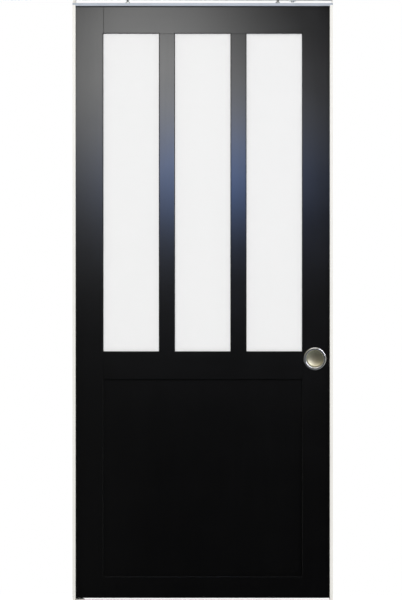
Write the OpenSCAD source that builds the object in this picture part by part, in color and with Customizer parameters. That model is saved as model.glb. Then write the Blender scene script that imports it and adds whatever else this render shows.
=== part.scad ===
// Sliding glazed door with its frame, for a pocket in a stud wall.
// The leaf hangs from two trolleys in an aluminium head track and slides to the left.
// X runs along the wall, Y runs through it with the front at -Y, and Z is up, in millimetres.
// The origin lies on the floor under the middle of the track.

/* [Doorway] */
// Clear width between the jambs
opening_w = 900; // [760:10:1100]
// Height from the floor to the underside of the head covers
opening_h = 2104; // [2000:1:2400]
// Depth of the frame, the same as the finished wall
frame_d = 100; // [90:1:130]
// Part of the leaf that stays in the doorway when it is open
open_reveal = 110; // [100:1:160]

/* [Leaf] */
// Thickness of the stiles and rails
leaf_t = 40; // [38:1:44]
// Gap between the floor and the leaf
floor_gap = 8; // [7:0.5:12]
// Width of each stile between the jamb and the glass
stile_face = 98; // [94:1:120]
// Height of the top rail below the head covers
top_rail_face = 96; // [92:1:130]
// Height of the rail between the glass and the lower panel
lock_rail_h = 100; // [90:1:140]
// Height of the bottom rail
bottom_rail_h = 77; // [74:1:120]
// Height of the lower panel between its rails
panel_sight_h = 697; // [500:1:760]
// Width of each muntin between two panes
muntin_w = 57; // [50:1:64]
// Part of the leaf that enters the strike jamb
strike_lap = 6; // [4:0.5:7]
// Part of the leaf that stays behind the pocket jambs
pocket_lap = 6; // [4:0.5:9]
// Part of the leaf that rises behind the head covers
head_lap = 12; // [10:0.5:14]

/* [Glazing] */
// Thickness of the glass
glass_t = 6; // [4:0.5:8]
// Depth of the glass rebate beside the sight line
rebate_w = 12; // [10:0.5:14]
// Thickness of the wood in front of the glass
lip_t = 12; // [10:0.5:14]
// Gap between the edge of the glass and its rebate
glass_gap = 2; // [1:0.25:3]
// Thickness of the glazing tape on each side of the glass
tape_t = 1; // [0.8:0.1:1.5]
// Width of the glazing tape
tape_w = 8; // [5:0.5:9]
// Step from the rear face of the leaf to the beads
bead_inset = 1.5; // [0:0.25:3]
// Gap between two beads at each mitre
mitre_gap = 0.1; // [0.05:0.05:0.3]
// Gap between a bead and its rebate
bead_gap = 0.2; // [0.1:0.05:0.5]

/* [Lower panel] */
// Thickness of the panel
panel_t = 18; // [12:1:20]
// Depth of the groove that holds the panel
groove_d = 10; // [8:0.5:12]
// Gap between the edge of the panel and the foot of its groove
panel_gap = 1.5; // [1:0.25:3]
// Gap between each face of the panel and its groove
panel_fit = 0.1; // [0.05:0.05:0.3]

/* [Arrises and joints] */
// Bevel round the glass and the panel
sight_bevel = 2.5; // [1:0.25:4]
// Depth of the fine groove at each rail joint
joint_v = 1; // [0.5:0.1:2]
// Bevel on the long outer edges of the leaf
edge_bevel = 1.5; // [0.5:0.1:3]
// Diameter of the dowels between rails and stiles
dowel_d = 12; // [10:0.5:14]
// Length of the dowels between rails and stiles
dowel_l = 90; // [60:1:94]
// Distance between the two dowels of the top rail
top_dowel_pitch = 36; // [24:1:40]
// Distance between the two dowels of the lock rail
lock_dowel_pitch = 40; // [24:1:44]
// Distance between the two dowels of the bottom rail
bottom_dowel_pitch = 24; // [18:1:26]
// Diameter of the muntin dowels
muntin_dowel_d = 8; // [6:0.5:10]
// Length of the muntin dowels
muntin_dowel_l = 70; // [50:1:90]
// Distance between the two dowels at a muntin end
muntin_dowel_pitch = 16; // [12:1:18]
// Clearance of a dowel in its bore, on the radius
dowel_fit = 0.05; // [0.02:0.01:0.1]

/* [Cup pull] */
// Diameter of the flange on the face of the leaf
pull_d = 80; // [70:1:84]
// Diameter of the mouth of the dish
pull_mouth_d = 61; // [52:1:64]
// Height of the flange above the face of the leaf
pull_rise = 2; // [1.5:0.25:3]
// Depth of the dish below the face of the leaf
pull_depth = 9.5; // [7:0.25:11]
// Rise of the dish floor from its middle to its fillet
pull_sag = 2.5; // [1:0.25:3.5]
// Thickness of the sheet that the dish is pressed from
pull_wall = 1.2; // [1:0.1:1.6]
// Radius between the wall and the floor of the dish
pull_fillet = 6; // [3:0.5:7]
// Distance from the strike jamb to the centre of the pull
pull_inset = 52; // [48:0.5:56]
// Height of the pull above the foot of the leaf
pull_height = 848; // [800:1:1100]
// Clearance of the cup in its bore, on the radius
pull_fit = 0.1; // [0.05:0.05:0.3]

/* [Frame profiles] */
// Width of the jamb face that shows beside the leaf
jamb_face = 10.5; // [9.5:0.5:14]
// Height of the head cover face that shows above the leaf
head_face = 10.5; // [9:0.5:14]
// Height that the face of a head cover hangs below its soffit
cover_nose = 3.5; // [2:0.5:5]
// Gap between the nose of a head cover and the jambs
nose_gap = 0.3; // [0.2:0.1:0.8]
// Wall thickness of the aluminium profiles
profile_t = 2; // [1.6:0.1:2.4]
// Bevel on the outer edges of the jambs and the head covers
profile_arris = 0.5; // [0.2:0.1:0.8]
// Gap between the leaf and the strike channel on each face
strike_gap = 2; // [1:0.25:3]
// Gap between the leaf and the pocket jambs on each face
side_gap = 4; // [3.5:0.25:6]
// Height of the stiffening edge of a head cover
cover_edge_h = 8; // [6:0.5:9]
// Height of the jamb tabs beside the track
tab_rise = 20; // [16:1:28]
// Height of the cleats in the jamb ends
cleat_h = 24; // [18:1:40]
// Length of the head cover screws
cover_screw_l = 18; // [12:1:20]
// Clearance of a seal from the leaf
seal_clear = 0.3; // [0.2:0.05:1]
// Width of a brush seal
seal_w = 5; // [4:0.5:7]
// Thickness of the backing of a brush seal
seal_base_t = 1; // [0.6:0.1:1.4]
// Width of the pile of a brush seal
pile_w = 2.6; // [1.5:0.1:3.5]
// Width of the closing seal in the strike jamb
strike_seal_w = 12; // [8:1:18]
// Height of the first wall screw above the floor
wall_screw_z = 150; // [100:10:250]
// Radius of the wall screw holes
wall_hole_r = 2.5; // [2:0.1:3]
// Distance between the two columns of wall screws
wall_hole_pitch = 28; // [24:1:30]

/* [Track] */
// Gap between the leaf and the track
track_gap = 12; // [10:0.5:16]
// Height of the track
track_h = 40; // [39:1:50]
// Wall thickness of the track
track_t = 3; // [2.5:0.1:3.5]
// Depth of the trim groove along each side of the track
track_groove = 1; // [0.6:0.1:1.2]
// Width of the slot for the hanger bolts
track_slot = 14; // [11:0.5:15]
// Radius of the screw ports along the track
port_r = 3.6; // [3:0.1:4]
// Radius of the pilot bore in a screw port
port_bore_r = 1.9; // [1.5:0.1:2]
// Length of track past the open leaf
track_tail = 20; // [10:1:60]
// Thickness of the end cap
cap_t = 2; // [1.5:0.1:4]
// Radius of the ceiling screw holes
head_hole_r = 2.75; // [2:0.1:3.5]
// Length of the screws in the ends of the track
port_screw_l = 14; // [8:1:20]
// Distance from the track end to the first ceiling screw
head_hole_inset = 60; // [40:5:120]

/* [Trolleys] */
// Distance from each edge of the leaf to its hanger
hanger_inset = 190; // [185:1:260]
// Diameter of the wheels
wheel_d = 22; // [20:0.5:23]
// Width of a wheel tread
wheel_w = 7; // [5:0.25:7.5]
// Running gap between the wheels and the track
wheel_gap = 0.25; // [0.1:0.05:0.4]
// Diameter of the axles
axle_d = 6; // [5:0.25:7]
// Clearance of a wheel on its axle, on the radius
axle_fit = 0.05; // [0.02:0.01:0.1]
// Distance between the two axles of a trolley
axle_pitch = 44; // [40:1:56]
// Length of a trolley
trolley_l = 66; // [64:1:80]
// Width of a trolley body
trolley_w = 19; // [16:0.5:20]
// Gap between a trolley body and its wheels
wheel_side_gap = 1; // [0.5:0.1:1.2]
// Diameter of the hanger bolts
bolt_d = 8; // [7:0.25:8.5]
// Width of the bolt heads and nuts across their flats
hex_af = 13; // [12:0.5:14]
// Height of a bolt head
bolt_head_h = 5.5; // [4:0.25:6]
// Height of a lock nut
nut_h = 6.5; // [4:0.25:7]
// Length of a hanger plate
plate_l = 90; // [80:1:120]
// Width of a hanger plate
plate_w = 24; // [20:1:28]
// Thickness of a hanger plate
plate_t = 4; // [3.5:0.25:5]
// Distance between plate screws along the leaf
plate_screw_pitch = 66; // [56:1:68]
// Distance between plate screws across the leaf
plate_screw_row = 10; // [9:0.5:11]
// Diameter of the plate screws
plate_screw_d = 4.4; // [3.5:0.1:4.6]
// Length of the plate screws
plate_screw_l = 36; // [25:1:45]

/* [Stops and guide] */
// Length of a track stop
stop_l = 24; // [20:1:40]
// Height of a track stop
stop_h = 20; // [18:1:21]
// Gap between a stop and the sides of the track
stop_side_gap = 3; // [1:0.5:5]
// Diameter of a stop buffer
buffer_d = 12; // [8:0.5:14]
// Length of a stop buffer
buffer_l = 8; // [5:0.5:12]
// Gap between a buffer and its trolley at the end of travel
buffer_gap = 0.3; // [0.2:0.05:0.5]
// Thickness of a clamp plate
clamp_t = 3; // [2:0.25:4]
// Width of the guide channel in the foot of the leaf
channel_w = 12; // [11:0.5:14]
// Height of the guide channel
channel_h = 20; // [16:0.5:22]
// Wall thickness of the guide channel
channel_t = 2; // [1.5:0.1:2.5]
// Thickness of the floor guide plate
guide_plate_t = 4; // [3:0.25:5]
// Reach of the floor guide into the doorway
guide_reach = 30; // [24:1:60]
// Gap on each side of the guide fin in its channel
fin_gap = 1; // [0.5:0.1:1.5]
// Gap above the guide fin
fin_top_gap = 4; // [2:0.5:6]
// Distance between the floor screws of the guide
guide_hole_pitch = 30; // [26:1:34]
// Radius of the floor screw holes of the guide
guide_hole_r = 2.25; // [2:0.05:2.5]

/* [Hidden] */
$fn = 96;
// overrun of every cut past the face it opens
cut = 1;
// a head radius is this many times its screw's radius
head_share = 1.9;
// countersunk heads are as deep as the step in their radius
sink_share = 1;
// a screw head's height against its radius
pan_share = 0.7;
// bevels on the wheels against their diameter
soft_share = 0.08;
// a cap screw's head against its clamp plate
cap_share = 1.5;
// height of the trim groove on the side of the track
groove_share = 0.75;
// ceiling screws, as shares of half the screwed length of the track
head_hole_shares = [1, 0.6, 0.2];
// wall screws, as shares of the screwed height of the strike jamb
wall_screw_shares = [0, 0.33, 0.67, 1];

leaf_black = [0.05, 0.05, 0.055];
timber_tan = [0.76, 0.62, 0.43];
glass_white = [0.93, 0.94, 0.95, 0.85];
tape_grey = [0.16, 0.16, 0.17];
nickel = [0.72, 0.69, 0.60];
jamb_cream = [0.95, 0.95, 0.92];
aluminium = [0.73, 0.75, 0.78];
zinc = [0.66, 0.67, 0.68];
nylon_black = [0.09, 0.09, 0.1];
nylon_white = [0.88, 0.88, 0.85];
pile_grey = [0.38, 0.38, 0.4];
rubber_black = [0.06, 0.06, 0.06];

// travel and the places along the wall
travel = opening_w + strike_lap - open_reveal;
pocket_run = pocket_lap + travel + track_tail;
open_x = (pocket_run + cap_t - jamb_face) / 2;
mouth_x = open_x - opening_w / 2;
strike_x = open_x + opening_w / 2;
leaf_x0 = mouth_x - pocket_lap;
leaf_x1 = strike_x + strike_lap;
sight_x0 = mouth_x + stile_face;
sight_x1 = strike_x - stile_face;
pane_w = (sight_x1 - sight_x0 - 2 * muntin_w) / 3;
pane_x = [for (i = [0 : 2]) sight_x0 + i * (pane_w + muntin_w)];
track_x0 = mouth_x - pocket_run;
track_x1 = strike_x + jamb_face - profile_t;

// heights
leaf_z0 = floor_gap;
leaf_z1 = opening_h + head_lap;
panel_z0 = leaf_z0 + bottom_rail_h;
panel_z1 = panel_z0 + panel_sight_h;
glass_z0 = panel_z1 + lock_rail_h;
glass_z1 = opening_h - top_rail_face;
soffit_z = opening_h + cover_nose;
track_z0 = leaf_z1 + track_gap;
track_z1 = track_z0 + track_h;
ledge_z = track_z0 + track_t;
wheel_r = wheel_d / 2;
axle_z = ledge_z + wheel_gap + wheel_r;

// depths
face_y = leaf_t / 2;
wall_y = frame_d / 2;
side_y = face_y + side_gap;
channel_y = face_y + strike_gap;
tape_front_y = lip_t - face_y;
glass_y0 = tape_front_y + tape_t;
glass_y1 = glass_y0 + glass_t;
bead_y0 = glass_y1 + tape_t;
bead_y1 = face_y - bead_inset;
inner_y = side_y - track_t;

// pull
pull_x = strike_x - pull_inset;
pull_z = leaf_z0 + pull_height;
pull_r = pull_d / 2;
mouth_r = pull_mouth_d / 2;
cup_r = mouth_r + pull_wall;
cup_floor = pull_depth + pull_wall;

// hangers and trolleys
hanger_x = [leaf_x0 + hanger_inset, leaf_x1 - hanger_inset];
plate_z0 = leaf_z1 - plate_t;
bolt_r = bolt_d / 2;
hex_r = hex_af / sqrt(3);
trolley_h = wheel_d - 2 * track_t;
bolt_top = axle_z + trolley_h / 2 - track_t;
wheel_y0 = trolley_w / 2 + wheel_side_gap;
wheel_y1 = wheel_y0 + wheel_w;
axle_r = axle_d / 2;
axle_end_y = inner_y - wheel_side_gap / 2;
stop_z1 = ledge_z + stop_h;
stop_x_closed = hanger_x[1] + trolley_l / 2 + buffer_gap + buffer_l;
stop_x_open = hanger_x[0] - travel - trolley_l / 2 - buffer_gap - buffer_l;
screw_r = port_bore_r;
clamp_r = axle_r;
axle_x = [for (x = hanger_x) for (side = [-1, 1]) x + side * axle_pitch / 2];
clamp_x = [stop_x_open - stop_l / 2, stop_x_closed + stop_l / 2];

// track section, ceiling screws, wall screws, jamb tabs and corner cleats
port_y = inner_y - port_r;
port_z = track_z1 - track_t - port_r;
track_mid = (track_x0 + track_x1) / 2;
head_reach = (track_x1 - track_x0) / 2 - head_hole_inset;
wall_screw_run = opening_h - 2 * wall_screw_z;
tab_x = mouth_x - jamb_face / 2;
tab_z = track_z0 + tab_rise / 2;
cleat_y = (wall_y + side_y) / 2;
cover_screw_x = [mouth_x - (jamb_face + profile_t) / 2, strike_x + (jamb_face + profile_t) / 2];

// dowels: rail dowel heights and muntin dowel places
top_dowel_z = (glass_z1 + rebate_w + plate_z0 - plate_screw_l) / 2;
lock_dowel_z = (panel_z1 + groove_d + glass_z0 - rebate_w) / 2;
bottom_dowel_z = (leaf_z0 + channel_h + panel_z0 - groove_d) / 2;
dowel_zs = [
    top_dowel_z - top_dowel_pitch / 2, top_dowel_z + top_dowel_pitch / 2,
    lock_dowel_z - lock_dowel_pitch / 2, lock_dowel_z + lock_dowel_pitch / 2,
    bottom_dowel_z - bottom_dowel_pitch / 2, bottom_dowel_z + bottom_dowel_pitch / 2
];
muntin_x = [for (i = [0 : 1]) pane_x[i] + pane_w + muntin_w / 2];
muntin_dowel_y = (bead_y0 + tape_front_y) / 2;

// A box between two corners
module box(x0, x1, y0, y1, z0, z1) {
    translate([x0, y0, z0])
        cube([x1 - x0, y1 - y0, z1 - z0]);
}

// Round bars along each axis
module rod_x(x0, x1, y, z, r) {
    translate([x0, y, z])
        rotate([0, 90, 0])
            cylinder(h = x1 - x0, r = r);
}

module rod_y(x, y0, y1, z, r) {
    translate([x, y1, z])
        rotate([90, 0, 0])
            cylinder(h = y1 - y0, r = r);
}

module rod_z(x, y, z0, z1, r) {
    translate([x, y, z0])
        cylinder(h = z1 - z0, r = r);
}

// A section in Y and Z drawn out along X
module run_x(x0, x1) {
    translate([x0, 0, 0])
        rotate([90, 0, 90])
            linear_extrude(height = x1 - x0)
                children();
}

// An outline in X and Z drawn out along Y
module run_y(y0, y1) {
    translate([0, y1, 0])
        rotate([90, 0, 0])
            linear_extrude(height = y1 - y0)
                children();
}

// A section in X and Y drawn out along Z
module run_z(z0, z1) {
    translate([0, 0, z0])
        linear_extrude(height = z1 - z0)
            children();
}

// The front half and its mirror image at the rear
module both_faces() {
    children();
    mirror([0, 1, 0])
        children();
}

// A rectangle between two corners
module area(x0, x1, y0, y1) {
    translate([x0, y0])
        square([x1 - x0, y1 - y0]);
}

// The small bevel at a corner of a section; the metal lies along sx and sy
module arris_cut(x, y, sx, sy) {
    out = profile_arris + cut;
    polygon([[x + sx * out, y - sy * cut], [x - sx * cut, y + sy * out], [x - sx * cut, y - sy * cut]]);
}

// A hexagon bar along Z, measured across its flats
module hex_bar(x, y, z0, z1) {
    translate([x, y, z0])
        cylinder(h = z1 - z0, r = hex_r, $fn = 6);
}

// The bevel round a sight opening, cut into the face at -y
module sight_cut(x0, x1, z0, z1, y, bevel) {
    out = bevel + cut;
    intersection() {
        run_z(z0 - out, z1 + out)
            polygon([[x0 - out, -y - cut], [x1 + out, -y - cut], [x1, bevel - y], [x0, bevel - y]]);
        run_x(x0 - out, x1 + out)
            polygon([[-y - cut, z0 - out], [-y - cut, z1 + out], [bevel - y, z1], [bevel - y, z0]]);
    }
}

// The fine groove at the end of a rail; side is 1 at its left end and -1 at its right end
module rail_joint_cut(x, z0, z1, side) {
    out = joint_v + cut;
    both_faces()
        run_z(z0 - cut, z1 + cut)
            polygon([
                [x - side * cut, -face_y - cut],
                [x + side * out, -face_y - cut],
                [x - side * cut, out - face_y]
            ]);
}

// The fine groove at the end of a muntin, on its front face; side is 1 at its foot and -1 at its top
module muntin_joint_cut(x0, x1, z, side) {
    out = joint_v + cut;
    run_x(x0 - cut, x1 + cut)
        polygon([
            [-face_y - cut, z - side * cut],
            [-face_y - cut, z + side * out],
            [out - face_y, z - side * cut]
        ]);
}

// Everything that is cut out of the leaf for the panes
module glass_cuts() {
    for (x = pane_x) {
        box(x - rebate_w, x + pane_w + rebate_w, tape_front_y, face_y + cut,
            glass_z0 - rebate_w, glass_z1 + rebate_w);
        sight_cut(x, x + pane_w, glass_z0, glass_z1, face_y, sight_bevel);
    }
}

// The groove and the bevels round the lower panel
module panel_cuts() {
    box(sight_x0 - groove_d, sight_x1 + groove_d, -panel_t / 2 - panel_fit, panel_t / 2 + panel_fit,
        panel_z0 - groove_d, panel_z1 + groove_d);
    both_faces()
        sight_cut(sight_x0, sight_x1, panel_z0, panel_z1, face_y, sight_bevel);
}

// The groove for the guide channel in the foot of the leaf
module channel_cut() {
    box(leaf_x0 - cut, leaf_x1 + cut, -channel_w / 2, channel_w / 2, leaf_z0 - cut, leaf_z0 + channel_h);
}

// Dowels between rails and stiles, with the clearance asked for
module rail_dowels(fit) {
    for (x = [sight_x0, sight_x1])
        for (z = dowel_zs)
            rod_x(x - dowel_l / 2 - fit, x + dowel_l / 2 + fit, 0, z, dowel_d / 2 + fit);
}

// Dowels between muntins and rails, with the clearance asked for
module muntin_pegs(fit) {
    half = muntin_dowel_l / 2 + fit;
    for (x = muntin_x)
        for (side = [-1, 1])
            for (z = [glass_z0, glass_z1])
                rod_z(x + side * muntin_dowel_pitch / 2, muntin_dowel_y, z - half, z + half,
                    muntin_dowel_d / 2 + fit);
}

// A stile blank with bevelled outer edges, from its outer edge to its sight line
module stile_blank(outer_x, sight_x) {
    side = sign(sight_x - outer_x);
    run_z(leaf_z0, leaf_z1)
        polygon([
            [outer_x + side * edge_bevel, -face_y], [sight_x, -face_y], [sight_x, face_y],
            [outer_x + side * edge_bevel, face_y], [outer_x, face_y - edge_bevel],
            [outer_x, edge_bevel - face_y]
        ]);
}

module left_stile() {
    color(leaf_black)
        difference() {
            stile_blank(leaf_x0, sight_x0);
            glass_cuts();
            panel_cuts();
            channel_cut();
            rail_dowels(dowel_fit);
        }
}

module right_stile() {
    color(leaf_black)
        difference() {
            stile_blank(leaf_x1, sight_x1);
            glass_cuts();
            panel_cuts();
            channel_cut();
            rail_dowels(dowel_fit);
            both_faces()
                rod_y(pull_x, -face_y - cut, cup_floor + pull_fit - face_y, pull_z, cup_r + pull_fit);
        }
}

// A rail between the stiles with its joint grooves and dowel bores
module rail_blank(z0, z1) {
    difference() {
        box(sight_x0, sight_x1, -face_y, face_y, z0, z1);
        rail_joint_cut(sight_x0, z0, z1, 1);
        rail_joint_cut(sight_x1, z0, z1, -1);
        rail_dowels(dowel_fit);
    }
}

module top_rail() {
    color(leaf_black)
        difference() {
            rail_blank(glass_z1, leaf_z1);
            glass_cuts();
            muntin_pegs(dowel_fit);
            for (x = hanger_x) {
                box(x - plate_l / 2, x + plate_l / 2, -plate_w / 2, plate_w / 2, plate_z0, leaf_z1 + cut);
                rod_z(x, 0, plate_z0 - bolt_head_h - cut, plate_z0 + cut, hex_r + cut);
            }
            for (p = plate_screw_places())
                rod_z(p[0], p[1], plate_z0 - plate_screw_l, plate_z0 + cut, plate_screw_d / 2 + dowel_fit);
        }
}

module lock_rail() {
    color(leaf_black)
        difference() {
            rail_blank(panel_z1, glass_z0);
            glass_cuts();
            panel_cuts();
            muntin_pegs(dowel_fit);
        }
}

module bottom_rail() {
    color(leaf_black)
        difference() {
            rail_blank(leaf_z0, panel_z0);
            panel_cuts();
            channel_cut();
        }
}

module muntin(i) {
    x0 = muntin_x[i] - muntin_w / 2;
    x1 = muntin_x[i] + muntin_w / 2;
    color(leaf_black)
        difference() {
            box(x0, x1, -face_y, face_y, glass_z0, glass_z1);
            glass_cuts();
            muntin_pegs(dowel_fit);
            muntin_joint_cut(x0, x1, glass_z0, 1);
            muntin_joint_cut(x0, x1, glass_z1, -1);
        }
}

module left_muntin() {
    muntin(0);
}

module right_muntin() {
    muntin(1);
}

module lower_panel() {
    edge = groove_d - panel_gap;
    color(leaf_black)
        box(sight_x0 - edge, sight_x1 + edge, -panel_t / 2, panel_t / 2, panel_z0 - edge, panel_z1 + edge);
}

// The outline of a pane, grown past its sight lines
module pane_area(i, grow) {
    area(pane_x[i] - grow, pane_x[i] + pane_w + grow, glass_z0 - grow, glass_z1 + grow);
}

module pane(i) {
    color(glass_white)
        run_y(glass_y0, glass_y1)
            pane_area(i, rebate_w - glass_gap);
}

module left_glass() {
    pane(0);
}

module middle_glass() {
    pane(1);
}

module right_glass() {
    pane(2);
}

// Tape rings in front of and behind each pane
module glazing_tapes() {
    outer = rebate_w - glass_gap;
    color(tape_grey)
        for (i = [0 : 2])
            for (y = [tape_front_y, glass_y1])
                run_y(y, y + tape_t)
                    difference() {
                        pane_area(i, outer);
                        pane_area(i, outer - tape_w);
                    }
}

// Four mitred beads behind a pane, bevelled towards the glass
module bead_set(i) {
    grow = rebate_w - bead_gap;
    x0 = pane_x[i];
    x1 = pane_x[i] + pane_w;
    z0 = glass_z0;
    z1 = glass_z1;
    outer = [
        [x0 - grow, z0 - grow], [x1 + grow, z0 - grow], [x1 + grow, z1 + grow], [x0 - grow, z1 + grow]
    ];
    inner = [[x0, z0], [x1, z0], [x1, z1], [x0, z1]];
    ways = [[mitre_gap, 0], [0, mitre_gap], [-mitre_gap, 0], [0, -mitre_gap]];
    color(leaf_black)
        for (k = [0 : 3])
            difference() {
                run_y(bead_y0, bead_y1)
                    polygon([
                        outer[k] + ways[k], outer[(k + 1) % 4] - ways[k],
                        inner[(k + 1) % 4] - ways[k], inner[k] + ways[k]
                    ]);
                mirror([0, 1, 0])
                    sight_cut(x0, x1, z0, z1, bead_y1, sight_bevel);
            }
}

module left_beads() {
    bead_set(0);
}

module middle_beads() {
    bead_set(1);
}

module right_beads() {
    bead_set(2);
}

module joint_dowels() {
    color(timber_tan)
        rail_dowels(0);
}

module muntin_dowels() {
    color(timber_tan)
        muntin_pegs(0);
}

// The pressed cup of a pull, turned about its own axis: a domed flange on the face at zero and a bowl behind it
module cup_section() {
    steps = 16;
    floor_z = -pull_depth;
    back_z = floor_z - pull_wall;
    back_fillet = pull_fillet + pull_wall;
    fillet_x = mouth_r - pull_fillet;
    tilt = atan(2 * pull_sag / fillet_x);
    bowl_r = fillet_x + pull_fillet * sin(tilt);
    bowl_rise = tan(tilt) * bowl_r / 2;
    fillet_z = floor_z + bowl_rise + pull_fillet * cos(tilt);
    back_r = fillet_x + back_fillet * sin(tilt);
    back_rise = fillet_z - back_fillet * cos(tilt) - back_z;
    ring_r = (mouth_r + pull_r) / 2;
    ring_half = (pull_r - mouth_r) / 2;
    dome = [for (k = [0 : steps])
        [ring_r + ring_half * cos(180 * k / steps), pull_rise * sin(180 * k / steps)]];
    inner_fillet = [for (k = [0 : steps]) let (turn = 90 - (90 - tilt) * k / steps)
        [fillet_x + pull_fillet * sin(turn), fillet_z - pull_fillet * cos(turn)]];
    bowl = [for (k = [1 : steps]) let (r = bowl_r * (1 - k / steps))
        [r, floor_z + bowl_rise * pow(r / bowl_r, 2)]];
    back_bowl = [for (k = [0 : steps - 1]) let (r = back_r * k / steps)
        [r, back_z + back_rise * pow(r / back_r, 2)]];
    outer_fillet = [for (k = [0 : steps]) let (turn = tilt + (90 - tilt) * k / steps)
        [fillet_x + back_fillet * sin(turn), fillet_z - back_fillet * cos(turn)]];
    polygon(concat(dome, inner_fillet, bowl, back_bowl, outer_fillet, [[mouth_r + pull_wall, 0]]));
}

module cup_pull() {
    color(nickel)
        translate([pull_x, -face_y, pull_z])
            rotate([90, 0, 0])
                rotate_extrude()
                    cup_section();
}

module front_pull() {
    cup_pull();
}

module rear_pull() {
    mirror([0, 1, 0])
        cup_pull();
}

// The folded channel that runs over the guide fin
module guide_channel() {
    slot = channel_w / 2 - channel_t;
    color(aluminium)
        difference() {
            box(leaf_x0, leaf_x1, -channel_w / 2, channel_w / 2, leaf_z0, leaf_z0 + channel_h);
            box(leaf_x0 - cut, leaf_x1 + cut, -slot, slot, leaf_z0 - cut, leaf_z0 + channel_h - channel_t);
        }
}

// A countersunk screw that points down, its head flush at z
module sunk_screw(x, y, z, r, l) {
    head_r = r * head_share;
    sink = (head_r - r) * sink_share;
    translate([x, y, z])
        rotate_extrude()
            polygon([[0, 0], [head_r, 0], [r, -sink], [r, 2 * r - l], [0, -l]]);
}

// The hole for a countersunk screw through a plate
module sunk_hole(x, y, z, r, depth) {
    head_r = r * head_share;
    sink = (head_r - r) * sink_share;
    rod_z(x, y, z - depth - cut, z, r);
    translate([x, y, z])
        rotate_extrude()
            polygon([[0, cut], [head_r + cut, cut], [r, -sink], [0, -sink]]);
}

// A pan head screw that points along -X, its head seated at x
module pan_screw(x, y, z, l) {
    head_r = screw_r * head_share;
    head_h = head_r * pan_share;
    soft = head_h / 2;
    translate([x, y, z])
        rotate([0, 90, 0])
            rotate_extrude()
                polygon([
                    [0, -l], [screw_r, screw_r - l], [screw_r, 0], [head_r, 0], [head_r, head_h - soft],
                    [head_r - soft, head_h], [0, head_h]
                ]);
}

// Places of the plate screws on both hangers
function plate_screw_places() = [
    for (x = hanger_x)
        for (i = [-1, 1])
            for (j = [-1, 1])
                [x + i * plate_screw_pitch / 2, j * plate_screw_row / 2]
];

module hanger_plate(i) {
    x = hanger_x[i];
    color(zinc)
        difference() {
            box(x - plate_l / 2, x + plate_l / 2, -plate_w / 2, plate_w / 2, plate_z0, leaf_z1);
            rod_z(x, 0, plate_z0 - cut, leaf_z1 + cut, bolt_r + axle_fit);
            for (p = plate_screw_places())
                sunk_hole(p[0], p[1], leaf_z1, plate_screw_d / 2 + axle_fit, plate_t);
        }
}

module left_hanger_plate() {
    hanger_plate(0);
}

module right_hanger_plate() {
    hanger_plate(1);
}

module hanger_screws() {
    color(zinc)
        for (p = plate_screw_places())
            sunk_screw(p[0], p[1], leaf_z1, plate_screw_d / 2, plate_screw_l);
}

module hanger_bolt(i) {
    color(zinc)
        union() {
            hex_bar(hanger_x[i], 0, plate_z0 - bolt_head_h, plate_z0);
            rod_z(hanger_x[i], 0, plate_z0 - cut, bolt_top, bolt_r);
        }
}

module left_hanger_bolt() {
    hanger_bolt(0);
}

module right_hanger_bolt() {
    hanger_bolt(1);
}

module hanger_nuts() {
    color(zinc)
        for (x = hanger_x)
            difference() {
                hex_bar(x, 0, leaf_z1, leaf_z1 + nut_h);
                rod_z(x, 0, leaf_z1 - cut, leaf_z1 + nut_h + cut, bolt_r + axle_fit);
            }
}

// The trolley body between the wheels, with bevelled ends
module trolley(i) {
    x = hanger_x[i];
    half = trolley_l / 2;
    tall = trolley_h / 2;
    soft = tall / 2;
    color(nylon_black)
        difference() {
            run_y(-trolley_w / 2, trolley_w / 2)
                polygon([
                    [x - half, axle_z - tall + soft], [x - half + soft, axle_z - tall],
                    [x + half - soft, axle_z - tall], [x + half, axle_z - tall + soft],
                    [x + half, axle_z + tall - soft], [x + half - soft, axle_z + tall],
                    [x - half + soft, axle_z + tall], [x - half, axle_z + tall - soft]
                ]);
            rod_z(x, 0, axle_z - tall - cut, axle_z + tall + cut, bolt_r + axle_fit);
            for (side = [-1, 1])
                rod_y(x + side * axle_pitch / 2, -trolley_w, trolley_w, axle_z, axle_r + axle_fit);
        }
}

module left_trolley() {
    trolley(0);
}

module right_trolley() {
    trolley(1);
}

// Axles with a riveted head outside each wheel
module trolley_axles() {
    color(zinc)
        for (x = axle_x)
            union() {
                rod_y(x, -axle_end_y, axle_end_y, axle_z, axle_r);
                both_faces()
                    rod_y(x, wheel_y1 + wheel_side_gap / 2, axle_end_y, axle_z, axle_r + wheel_side_gap);
            }
}

// A turned wheel with a dished side, about its own axis
module wheel_section() {
    soft = wheel_d * soft_share;
    hub_r = axle_r * head_share;
    dish = wheel_w / 4;
    rim_r = wheel_r - 2 * soft;
    bore_r = axle_r + axle_fit;
    polygon([
        [bore_r, 0], [wheel_r - soft, 0], [wheel_r, soft], [wheel_r, wheel_w - soft],
        [wheel_r - soft, wheel_w], [rim_r, wheel_w], [rim_r, wheel_w - dish], [hub_r, wheel_w - dish],
        [hub_r, wheel_w], [bore_r, wheel_w]
    ]);
}

module wheel_pair(i) {
    color(nylon_white)
        both_faces()
            translate([axle_x[i], -wheel_y0, axle_z])
                rotate([90, 0, 0])
                    rotate_extrude()
                        wheel_section();
}

module left_outer_wheels() {
    wheel_pair(0);
}

module left_inner_wheels() {
    wheel_pair(1);
}

module right_inner_wheels() {
    wheel_pair(2);
}

module right_outer_wheels() {
    wheel_pair(3);
}

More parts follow.
